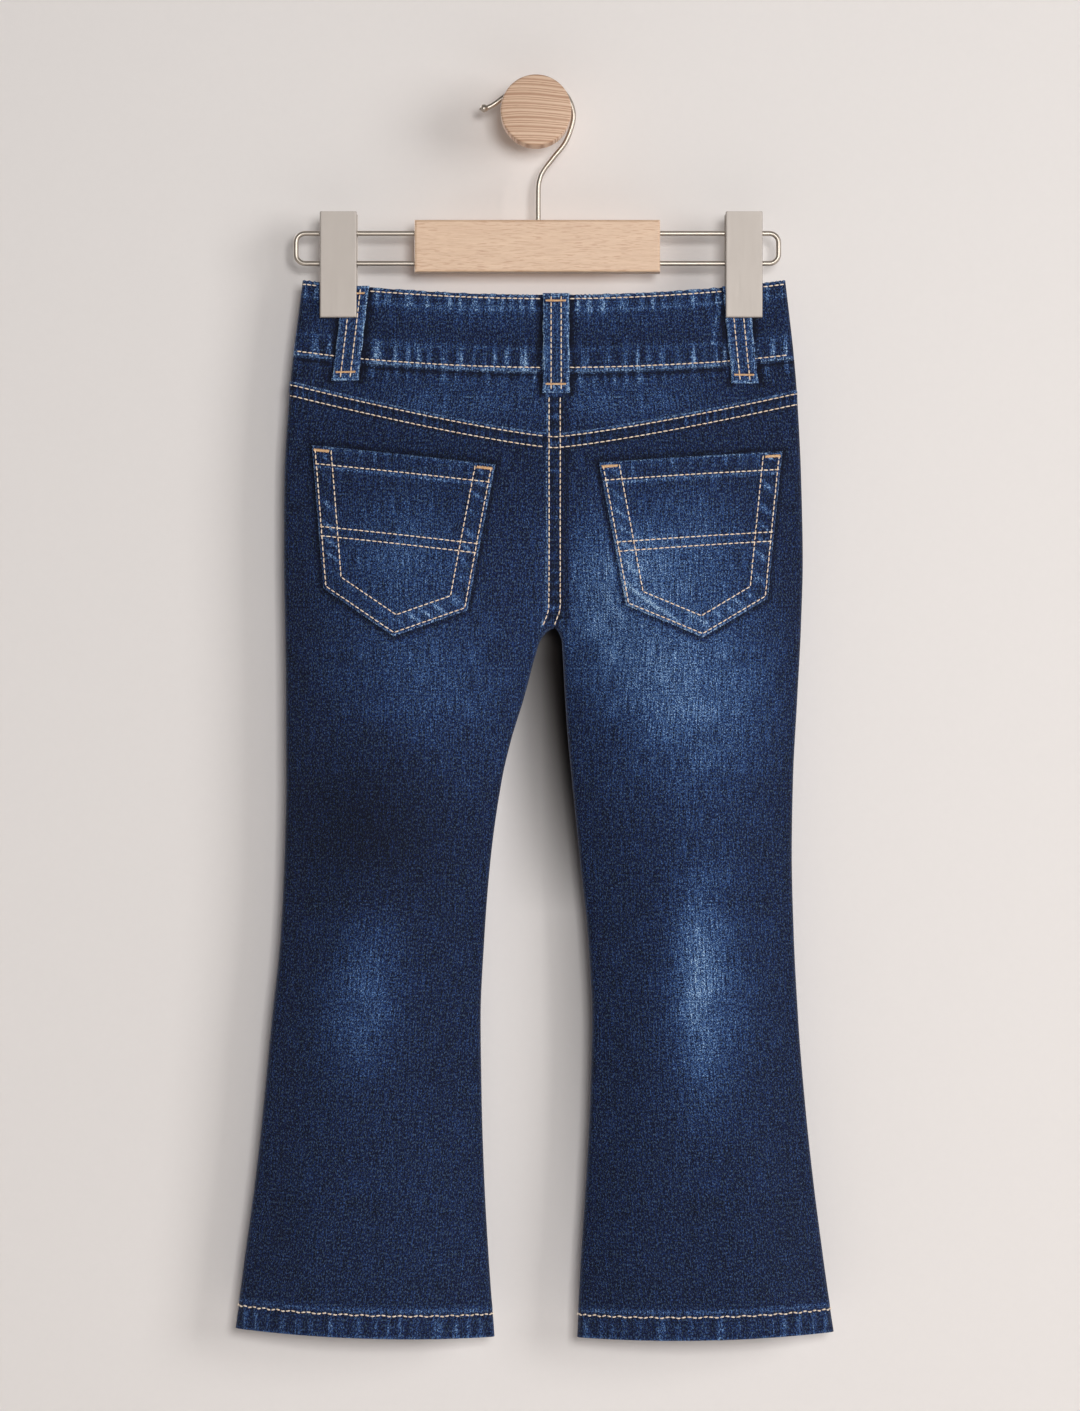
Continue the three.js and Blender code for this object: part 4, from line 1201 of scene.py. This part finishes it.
def make_clip(side, face, material):
    """A plate with rounded corners, folded edges and a jaw that curls in to the cloth at its foot."""
    out, high, low = out_of(face), CLIP["top"], CLIP["bottom"]
    inside, metal, half, corner = CLIP["inside"], CLIP["metal"], CLIP["width"] / 2, CLIP["corner"]
    rows = np.concatenate([
        high - corner + corner * np.cos(np.linspace(0, math.pi / 2, 5)), np.linspace(high - 1.5, low + 6, 20),
        np.linspace(low + 5, low + 0.9, 8),
    ])
    shares = np.concatenate([[-1, -0.985, -0.96], np.linspace(-0.9, 0.9, 19), [0.96, 0.985, 1]])
    near_edge = np.clip((np.abs(shares) - 0.955) / 0.045, 0, 1)
    round_edge = 0.45 * (1 - np.sqrt(1 - near_edge ** 2))
    grids = [], []
    for z in rows:
        drop = min(corner, high - z)
        narrow = corner - math.sqrt(max(0, corner ** 2 - (corner - drop) ** 2))
        foot = max(0, (low + JAW["height"] + 1.4 - z) / (JAW["height"] + 0.5))
        jaw = (inside - JAW[face]) * min(1, foot) ** 1.5
        foot_round = 0.3 * min(1, max(0, (low + 1.3 - z) / 0.5)) ** 2
        x = CLIP_X[side] + shares * (half - narrow)
        depths = inside + metal - round_edge - foot_round, inside - jaw + 0.2 * round_edge
        for grid, y in zip(grids, depths):
            grid.append(np.stack([x, HANG_Y + out * y, np.full(x.shape, z)], -1))
    for grid, inset in zip(grids, (0.35, 0.0)):
        last = grid[-1].copy()
        last[:, 2] = low + inset
        grid.append(last)
    points = np.concatenate([np.array(grid).reshape(-1, 3) for grid in grids])
    name = f"plate_{side}_{face}"
    PIECES[name] = make_mesh(name, points, wall_faces(len(grids[0]), len(shares)), material)
    for number, edge in enumerate((-1, 1)):
        near = half - EAR_INSET[face]
        ends = sorted(CLIP_X[side] + edge * reach for reach in (near, near - EAR["metal"]))
        make_ear(f"ear_{side}_{face}_{number}", ends, face, material)
    return PIECES[name]


def make_ear(name, ends, face, material):
    """A side wall of a clip, with a rounded end that holds the spring's pin."""
    inside, radius, middle = CLIP["inside"], EAR["radius"], PIN["z"]
    arc = np.radians(np.linspace(90, -90, 15))
    tip = EAR_TIP[face] + radius * (1 - np.cos(arc)) * 0.9
    depth = np.concatenate([[inside + 0.3], tip, [inside + 0.3]])
    height = np.concatenate([[middle + EAR["half"]], middle + radius * np.sin(arc), [middle - EAR["half"]]])
    points = [(x, HANG_Y + out_of(face) * d, z) for x in ends for d, z in zip(depth, height)]
    points += [(x, HANG_Y + out_of(face) * inside, middle) for x in ends]
    count = len(depth)
    faces = []
    for k in range(count):
        n = (k + 1) % count
        faces += [(k, n, n + count), (k, n + count, k + count)]
        faces += [(2 * count, n, k), (2 * count + 1, k + count, n + count)]
    PIECES[name] = make_mesh(name, points, faces, material, smooth_shading=False)


def make_spring(side, material):
    """A coil round a pin, between a clip's two plates."""
    turns, length, reach = SPRING["turns"], SPRING["length"], SPRING["radius"]
    a = np.linspace(0, 2 * math.pi * turns, turns * 22)
    x = CLIP_X[side] - length / 2 + length * a / a[-1]
    path = np.stack([x, HANG_Y + reach * np.cos(a), PIN["z"] + reach * np.sin(a)], -1)
    tube(f"spring_{side}", path, SPRING["wire"], 8, material)
    pin = in_plane([(CLIP_X[side] + off, PIN["z"]) for off in np.linspace(-PIN["reach"], PIN["reach"], 12)])
    tube(f"pin_{side}", pin, PIN["radius"], 16, material)


def turned(name, outline, sides, material):
    """A solid turned about the Y axis, from rows of (radius, y), starting and ending on the axis."""
    a = np.linspace(0, 2 * math.pi, sides, endpoint=False)
    rings = [np.stack([r * np.cos(a), np.full(sides, y), r * np.sin(a)], -1) for r, y in outline[1:-1]]
    points = np.concatenate(rings + [[(0, outline[0][1], 0), (0, outline[-1][1], 0)]])
    quads = ring_quads(len(rings), sides)
    triangles = np.concatenate([quads[:, [0, 1, 2]], quads[:, [0, 2, 3]]]).tolist()
    low = len(rings) * sides
    last = low - sides
    for k in range(sides):
        n = (k + 1) % sides
        triangles += [(low, n, k), (low + 1, last + k, last + n)]
    return make_mesh(name, points, triangles, material)


# Finishes

def colour(red, green, blue):
    """An sRGB colour from 0 to 255 as linear values."""
    def linear(value):
        value /= 255
        return value / 12.92 if value <= 0.04045 else ((value + 0.055) / 1.055) ** 2.4
    return linear(red), linear(green), linear(blue), 1.0


class Value:
    """A number in a material's nodes, with Python's own arithmetic."""

    def __init__(self, finish, socket):
        self.finish, self.socket = finish, socket

    def math(self, operation, *others, clamp=False):
        inputs = {0: self}
        inputs.update({k + 1: other for k, other in enumerate(others)})
        return self.finish.node("ShaderNodeMath", {"operation": operation, "use_clamp": clamp}, inputs)

    def __add__(self, other):
        return self.math("ADD", other)

    def __mul__(self, other):
        return self.math("MULTIPLY", other)

    def __sub__(self, other):
        return self.math("SUBTRACT", other)

    def __rsub__(self, other):
        return (self * -1) + other

    __radd__, __rmul__ = __add__, __mul__

    def held(self):
        """The same number, kept between 0 and 1."""
        return self.math("ADD", 0.0, clamp=True)

    def sine(self):
        return self.math("SINE")

    def step(self, low, high):
        """0 below low, 1 above high and smooth between them."""
        settings = {"interpolation_type": "SMOOTHSTEP", "clamp": True}
        inputs = {"Value": self, "From Min": low, "From Max": high}
        return self.finish.node("ShaderNodeMapRange", settings, inputs)


class Finish:
    """A material that is built from expressions."""

    def __init__(self, name, **shader):
        self.material = bpy.data.materials.new(name)
        self.material.use_nodes = True
        self.tree = self.material.node_tree
        self.shader = self.tree.nodes["Principled BSDF"]
        for socket, value in shader.items():
            self.shader.inputs[socket.replace("_", " ")].default_value = value

    def node(self, kind, settings=None, inputs=None, output=0):
        """Adds a node of one kind: its settings first, then the numbers or links of its sockets."""
        node = self.tree.nodes.new(kind)
        for key, value in (settings or {}).items():
            if key == "stops":
                self.set_stops(node.color_ramp, value)
            else:
                setattr(node, key, value)
        for key, value in (inputs or {}).items():
            if isinstance(value, Value):
                self.tree.links.new(value.socket, node.inputs[key])
            else:
                node.inputs[key].default_value = value
        return Value(self, node.outputs[output])

    def set_stops(self, ramp, stops):
        while len(ramp.elements) < len(stops):
            ramp.elements.new(0.5)
        for element, (place, shade) in zip(ramp.elements, stops):
            element.position, element.color = place, shade

    def attribute(self, name):
        return self.node("ShaderNodeAttribute", {"attribute_name": name}, output="Fac")

    def weave(self):
        return self.node("ShaderNodeUVMap", {"uv_map": "weave"})

    def place(self):
        return self.node("ShaderNodeTexCoord", output="Object")

    def scaled(self, vector, x, y, z):
        return self.node("ShaderNodeVectorMath", {"operation": "MULTIPLY"}, {0: vector, 1: (x, y, z)})

    def part(self, vector, axis):
        return self.node("ShaderNodeSeparateXYZ", None, {0: vector}, output=axis)

    def noise(self, vector, scale, detail=2.0, roughness=0.5):
        inputs = {"Vector": vector, "Scale": scale, "Detail": detail, "Roughness": roughness}
        return self.node("ShaderNodeTexNoise", None, inputs, output="Fac")

    def mix(self, share, a, b):
        settings = {"data_type": "RGBA", "clamp_factor": True}
        return self.node("ShaderNodeMix", settings, {0: share, 6: a, 7: b}, output=2)

    def ramp(self, value, stops):
        return self.node("ShaderNodeValToRGB", {"stops": stops}, {0: value}, output="Color")

    def bump(self, height, strength, distance):
        inputs = {"Height": height, "Strength": strength, "Distance": distance}
        return self.node("ShaderNodeBump", None, inputs)

    def feed(self, socket, value):
        self.tree.links.new(value.socket, self.shader.inputs[socket])


def make_denim():
    """Indigo twill: pale weft grains between dark warp threads, worn light on ridges and edges, and darker,
    with painted shade, where the fade is below 0.
    """
    finish = Finish("indigo_denim", Sheen_Weight=0.04, Sheen_Roughness=0.6, Specular_IOR_Level=0.16)
    weave = finish.weave()
    u, v = finish.part(weave, "X"), finish.part(weave, "Y")
    grains = finish.noise(finish.scaled(weave, 1.0, 0.72, 1), 1.5, detail=2.0, roughness=0.8)
    streaks = finish.noise(finish.scaled(weave, 0.95, 0.06, 1), 1.1, detail=3.0, roughness=0.7)
    cross = finish.noise(finish.scaled(weave, 0.07, 0.9, 1), 1.0, detail=2.0)
    salt = finish.noise(finish.scaled(weave, 1.0, 0.55, 1), 1.3, detail=1.0, roughness=0.6).step(0.5, 0.7)
    cloud = finish.noise(weave, 0.045, detail=4.0, roughness=0.6)
    twill = ((u * 0.72 + v * 1.25) * (2 * math.pi / 1.25)).sine()
    wear, fade, inside = (finish.attribute(name) for name in ("wear", "fade", "inside"))
    patchy = finish.noise(finish.scaled(weave, 1.0, 0.8, 1), 0.7, detail=3.0, roughness=0.8).step(0.34, 0.64)
    worn = (wear * (patchy * 0.85 + 0.3)).held()
    faded = (fade * (cloud * 0.7 + 0.62) + (cloud - 0.5) * 0.14).held()
    # The fade below 0: darker cloth, and the painted shade beside pockets, belt loops, seams and the
    # waistband's foot
    dark = (fade * -1.0).held()
    grain = (grains - 0.5) * 4.6 + (streaks - 0.5) * 2.2 + (cross - 0.5) * 0.5 + twill * (faded * 0.16 + 0.05)
    tone = (grain * (faded * 0.34 + worn * 0.4 + 0.42) + faded * 0.5 + worn * 0.5 - dark * 0.25 + 0.15).held()
    blue = finish.ramp(tone, [
        (0.0, colour(2, 7, 23)), (0.2, colour(9, 18, 52)), (0.42, colour(23, 45, 92)),
        (0.64, colour(56, 91, 146)), (0.84, colour(110, 148, 194)), (1.0, colour(176, 202, 224)),
    ])
    salted = salt * (faded * 0.3 + worn * 0.3 + 0.17) * (1.0 - dark)
    blue = finish.mix(salted, blue, colour(124, 160, 192))
    # Deepens the painted shade and darker cloth towards near black
    blue = finish.mix(dark * 0.5, blue, colour(8, 11, 26))
    back = finish.mix((grains - 0.3) * 1.6, colour(62, 76, 104), colour(140, 152, 172))
    finish.feed("Base Color", finish.mix(inside, blue, back))
    finish.feed("Roughness", grains * 0.2 + 0.74)
    height = grains * 0.6 + streaks * 0.35 + twill * 0.15
    finish.feed("Normal", finish.bump(height, 0.6, 0.0004))
    return finish.material


def make_thread(name, light, dark):
    """Twisted thread, uneven in colour."""
    finish = Finish(name, Sheen_Weight=0.15, Specular_IOR_Level=0.35)
    place = finish.place()
    uneven = finish.noise(place, 420.0, detail=2.0)
    twist = finish.part(finish.scaled(place, 9000.0, 9000.0, 9000.0), "X")
    ply = (twist + finish.part(place, "Z") * 9000.0).sine()
    finish.feed("Base Color", finish.mix((uneven - 0.25) * 2.0, light, dark))
    finish.feed("Roughness", uneven * 0.2 + 0.5)
    finish.feed("Normal", finish.bump(ply, 0.25, 0.0001))
    return finish.material


def make_metal(name, light, dark, brushed, rough, relief=0.12):
    """Satin metal with fine brushed lines."""
    finish = Finish(name, Metallic=0.82, Specular_IOR_Level=0.5)
    place = finish.place()
    lines = finish.noise(finish.scaled(place, *brushed), 900.0, detail=3.0, roughness=0.7)
    haze = finish.noise(place, 60.0, detail=2.0)
    finish.feed("Base Color", finish.mix(lines * 0.6 + haze * 0.4, dark, light))
    finish.feed("Roughness", lines * 0.14 + haze * 0.06 + rough)
    finish.feed("Normal", finish.bump(lines, relief, 0.00006))
    return finish.material


def make_beech():
    """Pale beech: faint level grain and many short brown flecks."""
    finish = Finish("beech", Coat_Weight=0.12, Coat_Roughness=0.35)
    place = finish.place()
    figure = finish.noise(finish.scaled(place, 9.0, 40.0, 130.0), 4.0, detail=4.0, roughness=0.6)
    fine = finish.noise(finish.scaled(place, 90.0, 300.0, 1100.0), 1.0, detail=3.0, roughness=0.75)
    flecks = finish.noise(finish.scaled(place, 150.0, 700.0, 2000.0), 1.0, detail=1.0).step(0.54, 0.66)
    spread = finish.noise(place, 55.0, detail=1.0).step(0.3, 0.55)
    wood = finish.mix(figure * 0.45 + fine * 0.55, colour(184, 146, 116), colour(238, 208, 178))
    finish.feed("Base Color", finish.mix(flecks * (spread * 0.6 + 0.4) * 0.42, wood, colour(168, 116, 84)))
    finish.feed("Roughness", fine * 0.15 + 0.42)
    finish.feed("Normal", finish.bump(fine * 0.6 - flecks * 0.5, 0.15, 0.0002))
    return finish.material


def make_peg_wood():
    """Darker oiled wood with close, level grain lines and open pores."""
    finish = Finish("oiled_wood", Coat_Weight=0.05, Coat_Roughness=0.5)
    place = finish.place()
    sway = finish.noise(finish.scaled(place, 14.0, 14.0, 30.0), 1.0, detail=2.0)
    x = finish.part(place, "X") + 0.006
    height = finish.part(place, "Z") * 3900.0 + x * x * 12000.0 + sway * 16.0
    rings = (height + (height * 0.37).sine() * 1.6).sine() * 0.5 + 0.5
    lines = finish.noise(finish.scaled(place, 16.0, 200.0, 1500.0), 1.0, detail=4.0, roughness=0.75)
    pores = finish.noise(finish.scaled(place, 160.0, 400.0, 3600.0), 1.0, detail=1.0).step(0.62, 0.74)
    wood = finish.mix((lines - 0.1) * 0.8 + (rings - 0.5) * 0.45, colour(168, 126, 98), colour(248, 220, 192))
    finish.feed("Base Color", finish.mix(pores * 0.45, wood, colour(140, 96, 62)))
    finish.feed("Roughness", lines * 0.15 + 0.55)
    finish.feed("Normal", finish.bump(lines - pores * 0.6, 0.25, 0.00025))
    return finish.material


def make_paint(name, shade, grain):
    """Matt paint with a faint speck."""
    finish = Finish(name, Specular_IOR_Level=0.2)
    speck = finish.noise(finish.place(), grain, detail=2.0)
    darker = tuple(value * 0.985 for value in shade[:3]) + (1.0,)
    finish.feed("Base Color", finish.mix(speck, shade, darker))
    finish.feed("Roughness", speck * 0.1 + 0.85)
    return finish.material


DENIM_CLOTH = make_denim()
TAN_THREAD = make_thread("tan_thread", colour(255, 240, 220), colour(230, 196, 164))
GOLD_THREAD = make_thread("gold_thread", colour(232, 192, 146), colour(196, 150, 106))
PALE_THREAD = make_thread("pale_thread", colour(250, 236, 218), colour(212, 188, 164))
SATIN_PLATE = make_metal("satin_plate", colour(188, 180, 173), colour(174, 166, 159), (1.0, 1.0, 0.04), 0.52)
SATIN_WIRE = make_metal(
    "satin_wire", colour(184, 174, 162), colour(166, 156, 145), (0.4, 0.4, 0.4), 0.27, 0.02)
ANTIQUE = make_metal("antique_metal", colour(150, 128, 98), colour(84, 70, 54), (1.0, 1.0, 1.0), 0.34)
BEECH = make_beech()
PEG_WOOD = make_peg_wood()


# What each piece rides on, stands for and is made of

PEG_PROFILE = [
    (0, -50), (18.2, -50), (18.75, -49.86), (19.1, -49.5), (19.3, -48.9), (19.3, -34.6), (19.1, -33.8),
    (18.4, -33.3), (17.4, -33.0), (17.0, -32.4), (17.0, -25.5), (16.8, -24.4), (12.6, 0), (0, 0),
]
BUTTON_PROFILE = [
    (0, 0), (4.4, 0), (4.4, 0.9), (7.6, 1.05), (8.0, 1.5), (7.9, 2.2), (7.4, 2.8), (6.7, 2.9), (6.3, 2.5),
    (5.6, 2.3), (2.0, 2.4), (1.4, 2.7), (0, 2.8),
]


def declare(piece, node=None):
    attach(piece, "root")
    if node:
        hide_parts(node)


def declare_sheet(piece):
    """Takes the steps down and across a cloth piece's outer grid, and does no more with them."""
    grid = OUTER[piece.name]
    down, across = grid[1:, :-1] - grid[:-1, :-1], grid[:-1, 1:] - grid[:-1, :-1]


def make_jeans():
    for side in SIDES:
        for face in FACES:
            declare(make_leg_panel(side, face), f"{face}_panel_{side}")
        declare(make_yoke(side), f"yoke_{side}")
        declare(make_pocket(side), f"back_pocket_{side}")
        declare(make_yoke_fell(side))
    declare(make_centre_fell())
    declare(make_back_band(), "waistband_back")
    for side in SIDES:
        declare(make_front_band(side), f"waistband_front_{side}")
    for loop in BELT_LOOPS:
        declare(make_loop(loop), loop)


def make_sewing():
    works = {
        "stitches_back": (sew_back, TAN_THREAD), "stitches_pockets": (sew_pockets, TAN_THREAD),
        "stitches_loops": (sew_loops, TAN_THREAD), "stitches_front": (sew_front, TAN_THREAD),
        "stitches_hems": (sew_hems, PALE_THREAD),
    }
    for name, (work, thread) in works.items():
        sewing = Sewing()
        work(sewing)
        declare(sewing.piece(name, thread))
    declare(TACKS.piece("bar_tacks", GOLD_THREAD))


def make_button():
    lo, hi = (np.array(corner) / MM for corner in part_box("waist_button"))
    middle = (lo + hi) / 2
    button = turned("button", [(r, lo[1] + y) for r, y in BUTTON_PROFILE], 64, ANTIQUE)
    button.data.transform(Matrix.Translation(Vector((middle[0], 0, middle[2])) * MM))
    return button


def make_hardware():
    declare(make_hook(SATIN_WIRE), "hanger_hook")
    for side in SIDES:
        declare(make_rail(side, SATIN_WIRE), f"hanger_rail_{side}")
        for face in FACES:
            declare(make_clip(side, face, SATIN_PLATE), f"clip_{side}_{face}")
            for number in (0, 1):
                declare(PIECES[f"ear_{side}_{face}_{number}"])
        make_spring(side, SATIN_WIRE)
        declare(PIECES[f"spring_{side}"], f"clip_{side}_spring")
        declare(PIECES[f"pin_{side}"])
    declare(turned("peg", PEG_PROFILE, 128, PEG_WOOD), "wall_peg")
    declare(make_button(), "waist_button")


# A node takes the first of these finishes whose words start its name, or else denim
NODE_FINISHES = {
    "hanger_block": BEECH, "wall_peg": PEG_WOOD, "waist_button": ANTIQUE, "hanger": SATIN_WIRE,
    "clip": SATIN_WIRE,
}


def finish_nodes():
    """Every CAD node gets its own finish. Of them, the hanger's block still shows."""
    for item in bpy.data.objects:
        if "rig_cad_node" in item and item.type == "MESH":
            starts = [start for start in NODE_FINISHES if item.name.startswith(start)]
            item.data.materials.clear()
            item.data.materials.append(NODE_FINISHES[starts[0]] if starts else DENIM_CLOTH)


make_jeans()
make_sewing()
make_hardware()
finish_nodes()
for name in OUTER:
    declare_sheet(PIECES[name])


# The camera, the wall and the light

FRAME_HEIGHT = 776
CAMERA_RUN = 2200
CAMERA_X, CAMERA_Z = 2.2, -324.5
WALL_FACE = 1.0
FLOOR_Z = -1300
WALL_TOP, WALL_HALF, FLOOR_HALF = 3000, 4000, 6000

# Lamps, in metres: place, size, power and colour
LAMPS = {
    "key": ((2.0, -1.9, 0.1), 1.2, 29, (1.0, 0.99, 0.98)),
    "fill": ((0.32, -2.7, -0.05), 0.5, 36, (1.0, 1.0, 1.0)),
    "rear_key": ((-1.6, 1.9, 0.8), 1.6, 44, (1.0, 0.99, 0.985)),
    "rear_fill": ((1.9, 2.2, 0.2), 2.2, 30, (0.97, 0.985, 1.0)),
}
LAMPS_AIM_AT = (0.0, 0.0, -0.35)
ROOM_LIGHT, ROOM_STRENGTH = (0.86, 0.865, 0.87, 1), 0.09
ROOM_SEEN = colour(226, 220, 216)

# The deep shade painted onto the wall in the gap between the legs: its middle, top, how far its parts reach
# down, and its colour
SHADE_X, SHADE_TOP, SHADE_FOOT, SHADE_TAIL = 8.0, -262.0, -440.0, -640.0
PAINTED_SHADE = colour(34, 30, 28)


def add_lamp(name, place, size, power, shade):
    """A square lamp that faces the jeans."""
    light = bpy.data.lights.new(name, "AREA")
    light.shape, light.size, light.energy, light.color = "SQUARE", size, power, shade
    item = bpy.data.objects.new(name, light)
    item.location = place
    item.rotation_euler = (Vector(LAMPS_AIM_AT) - Vector(place)).to_track_quat("-Z", "Y").to_euler()
    bpy.context.collection.objects.link(item)


def add_stage(name, corners, material):
    mesh = bpy.data.meshes.new(name)
    mesh.from_pydata([tuple(value * MM for value in corner) for corner in corners], [], [(0, 1, 2, 3)])
    mesh.materials.append(material)
    item = bpy.data.objects.new(name, mesh)
    bpy.context.collection.objects.link(item)


def make_wall_paint():
    """Pale paint, with a painted shade in the gap between the legs, on a wall that is there from the front
    only, so that the jeans show from behind too.
    """
    finish = Finish("wall_paint", Specular_IOR_Level=0.2)
    place = finish.place()
    speck = finish.noise(place, 300.0)
    x, z = finish.part(place, "X") * 1000.0 - SHADE_X, finish.part(place, "Z") * 1000.0
    # Painted shade: deepest just under the crotch, fading downwards and towards the left, with a fainter part
    # that reaches lower beside the right leg
    near = (x * x * -0.0007 + 1.4).held() * ((z - SHADE_TOP) * -0.08).held()
    beside = ((z - SHADE_TAIL) * 0.003).held() * (x * 0.033 + 0.17).held() * 0.5
    shade = (((z - SHADE_FOOT) * 0.00714).held() * (x * 0.025 + 0.78).held() + beside).held() * near
    light = finish.mix(speck, colour(230, 225, 222), colour(228, 223, 220))
    # The painted shade mixed into the wall's colour
    finish.feed("Base Color", finish.mix((2.0 - shade) * shade, light, PAINTED_SHADE))
    finish.feed("Roughness", speck * 0.1 + 0.85)
    behind = finish.node("ShaderNodeNewGeometry", output="Backfacing")
    shadow = finish.node("ShaderNodeLightPath", output="Is Shadow Ray")
    nodes, links = finish.tree.nodes, finish.tree.links
    clear, mixed = nodes.new("ShaderNodeBsdfTransparent"), nodes.new("ShaderNodeMixShader")
    links.new((behind + shadow).held().socket, mixed.inputs["Fac"])
    links.new(finish.shader.outputs["BSDF"], mixed.inputs[1])
    links.new(clear.outputs["BSDF"], mixed.inputs[2])
    links.new(mixed.outputs["Shader"], nodes["Material Output"].inputs["Surface"])
    return finish.material


def make_camera():
    camera = bpy.data.objects.new("camera", bpy.data.cameras.new("camera"))
    camera.data.sensor_width = 36
    camera.data.lens = camera.data.sensor_width * CAMERA_RUN / FRAME_HEIGHT
    camera.data.clip_end = 60
    camera.location = (CAMERA_X * MM, (HANG_Y - CAMERA_RUN) * MM, CAMERA_Z * MM)
    camera.rotation_euler = (math.pi / 2, 0, 0)
    bpy.context.collection.objects.link(camera)
    bpy.context.scene.camera = camera


def make_room():
    """A plain wall and floor, four lamps, and a dim room whose air the camera sees as pale."""
    wall = [(x, WALL_FACE, z) for x, z in (
        (-WALL_HALF, FLOOR_Z), (WALL_HALF, FLOOR_Z), (WALL_HALF, WALL_TOP), (-WALL_HALF, WALL_TOP))]
    floor = [(x * FLOOR_HALF, y * FLOOR_HALF, FLOOR_Z) for x, y in ((-1, -1), (1, -1), (1, 1), (-1, 1))]
    add_stage("wall", wall, make_wall_paint())
    add_stage("floor", floor, make_paint("floor_paint", ROOM_SEEN, 60.0))
    for name, lamp in LAMPS.items():
        add_lamp(name, *lamp)
    world = bpy.data.worlds.new("studio")
    world.use_nodes = True
    tree = world.node_tree
    plain, seen = tree.nodes["Background"], tree.nodes.new("ShaderNodeBackground")
    plain.inputs["Color"].default_value, plain.inputs["Strength"].default_value = ROOM_LIGHT, ROOM_STRENGTH
    seen.inputs["Color"].default_value = ROOM_SEEN
    choice, path = tree.nodes.new("ShaderNodeMixShader"), tree.nodes.new("ShaderNodeLightPath")
    tree.links.new(path.outputs["Is Camera Ray"], choice.inputs["Fac"])
    tree.links.new(plain.outputs["Background"], choice.inputs[1])
    tree.links.new(seen.outputs["Background"], choice.inputs[2])
    tree.links.new(choice.outputs["Shader"], tree.nodes["World Output"].inputs["Surface"])
    bpy.context.scene.world = world
    bpy.context.scene.view_settings.view_transform = "Standard"


make_camera()
make_room()
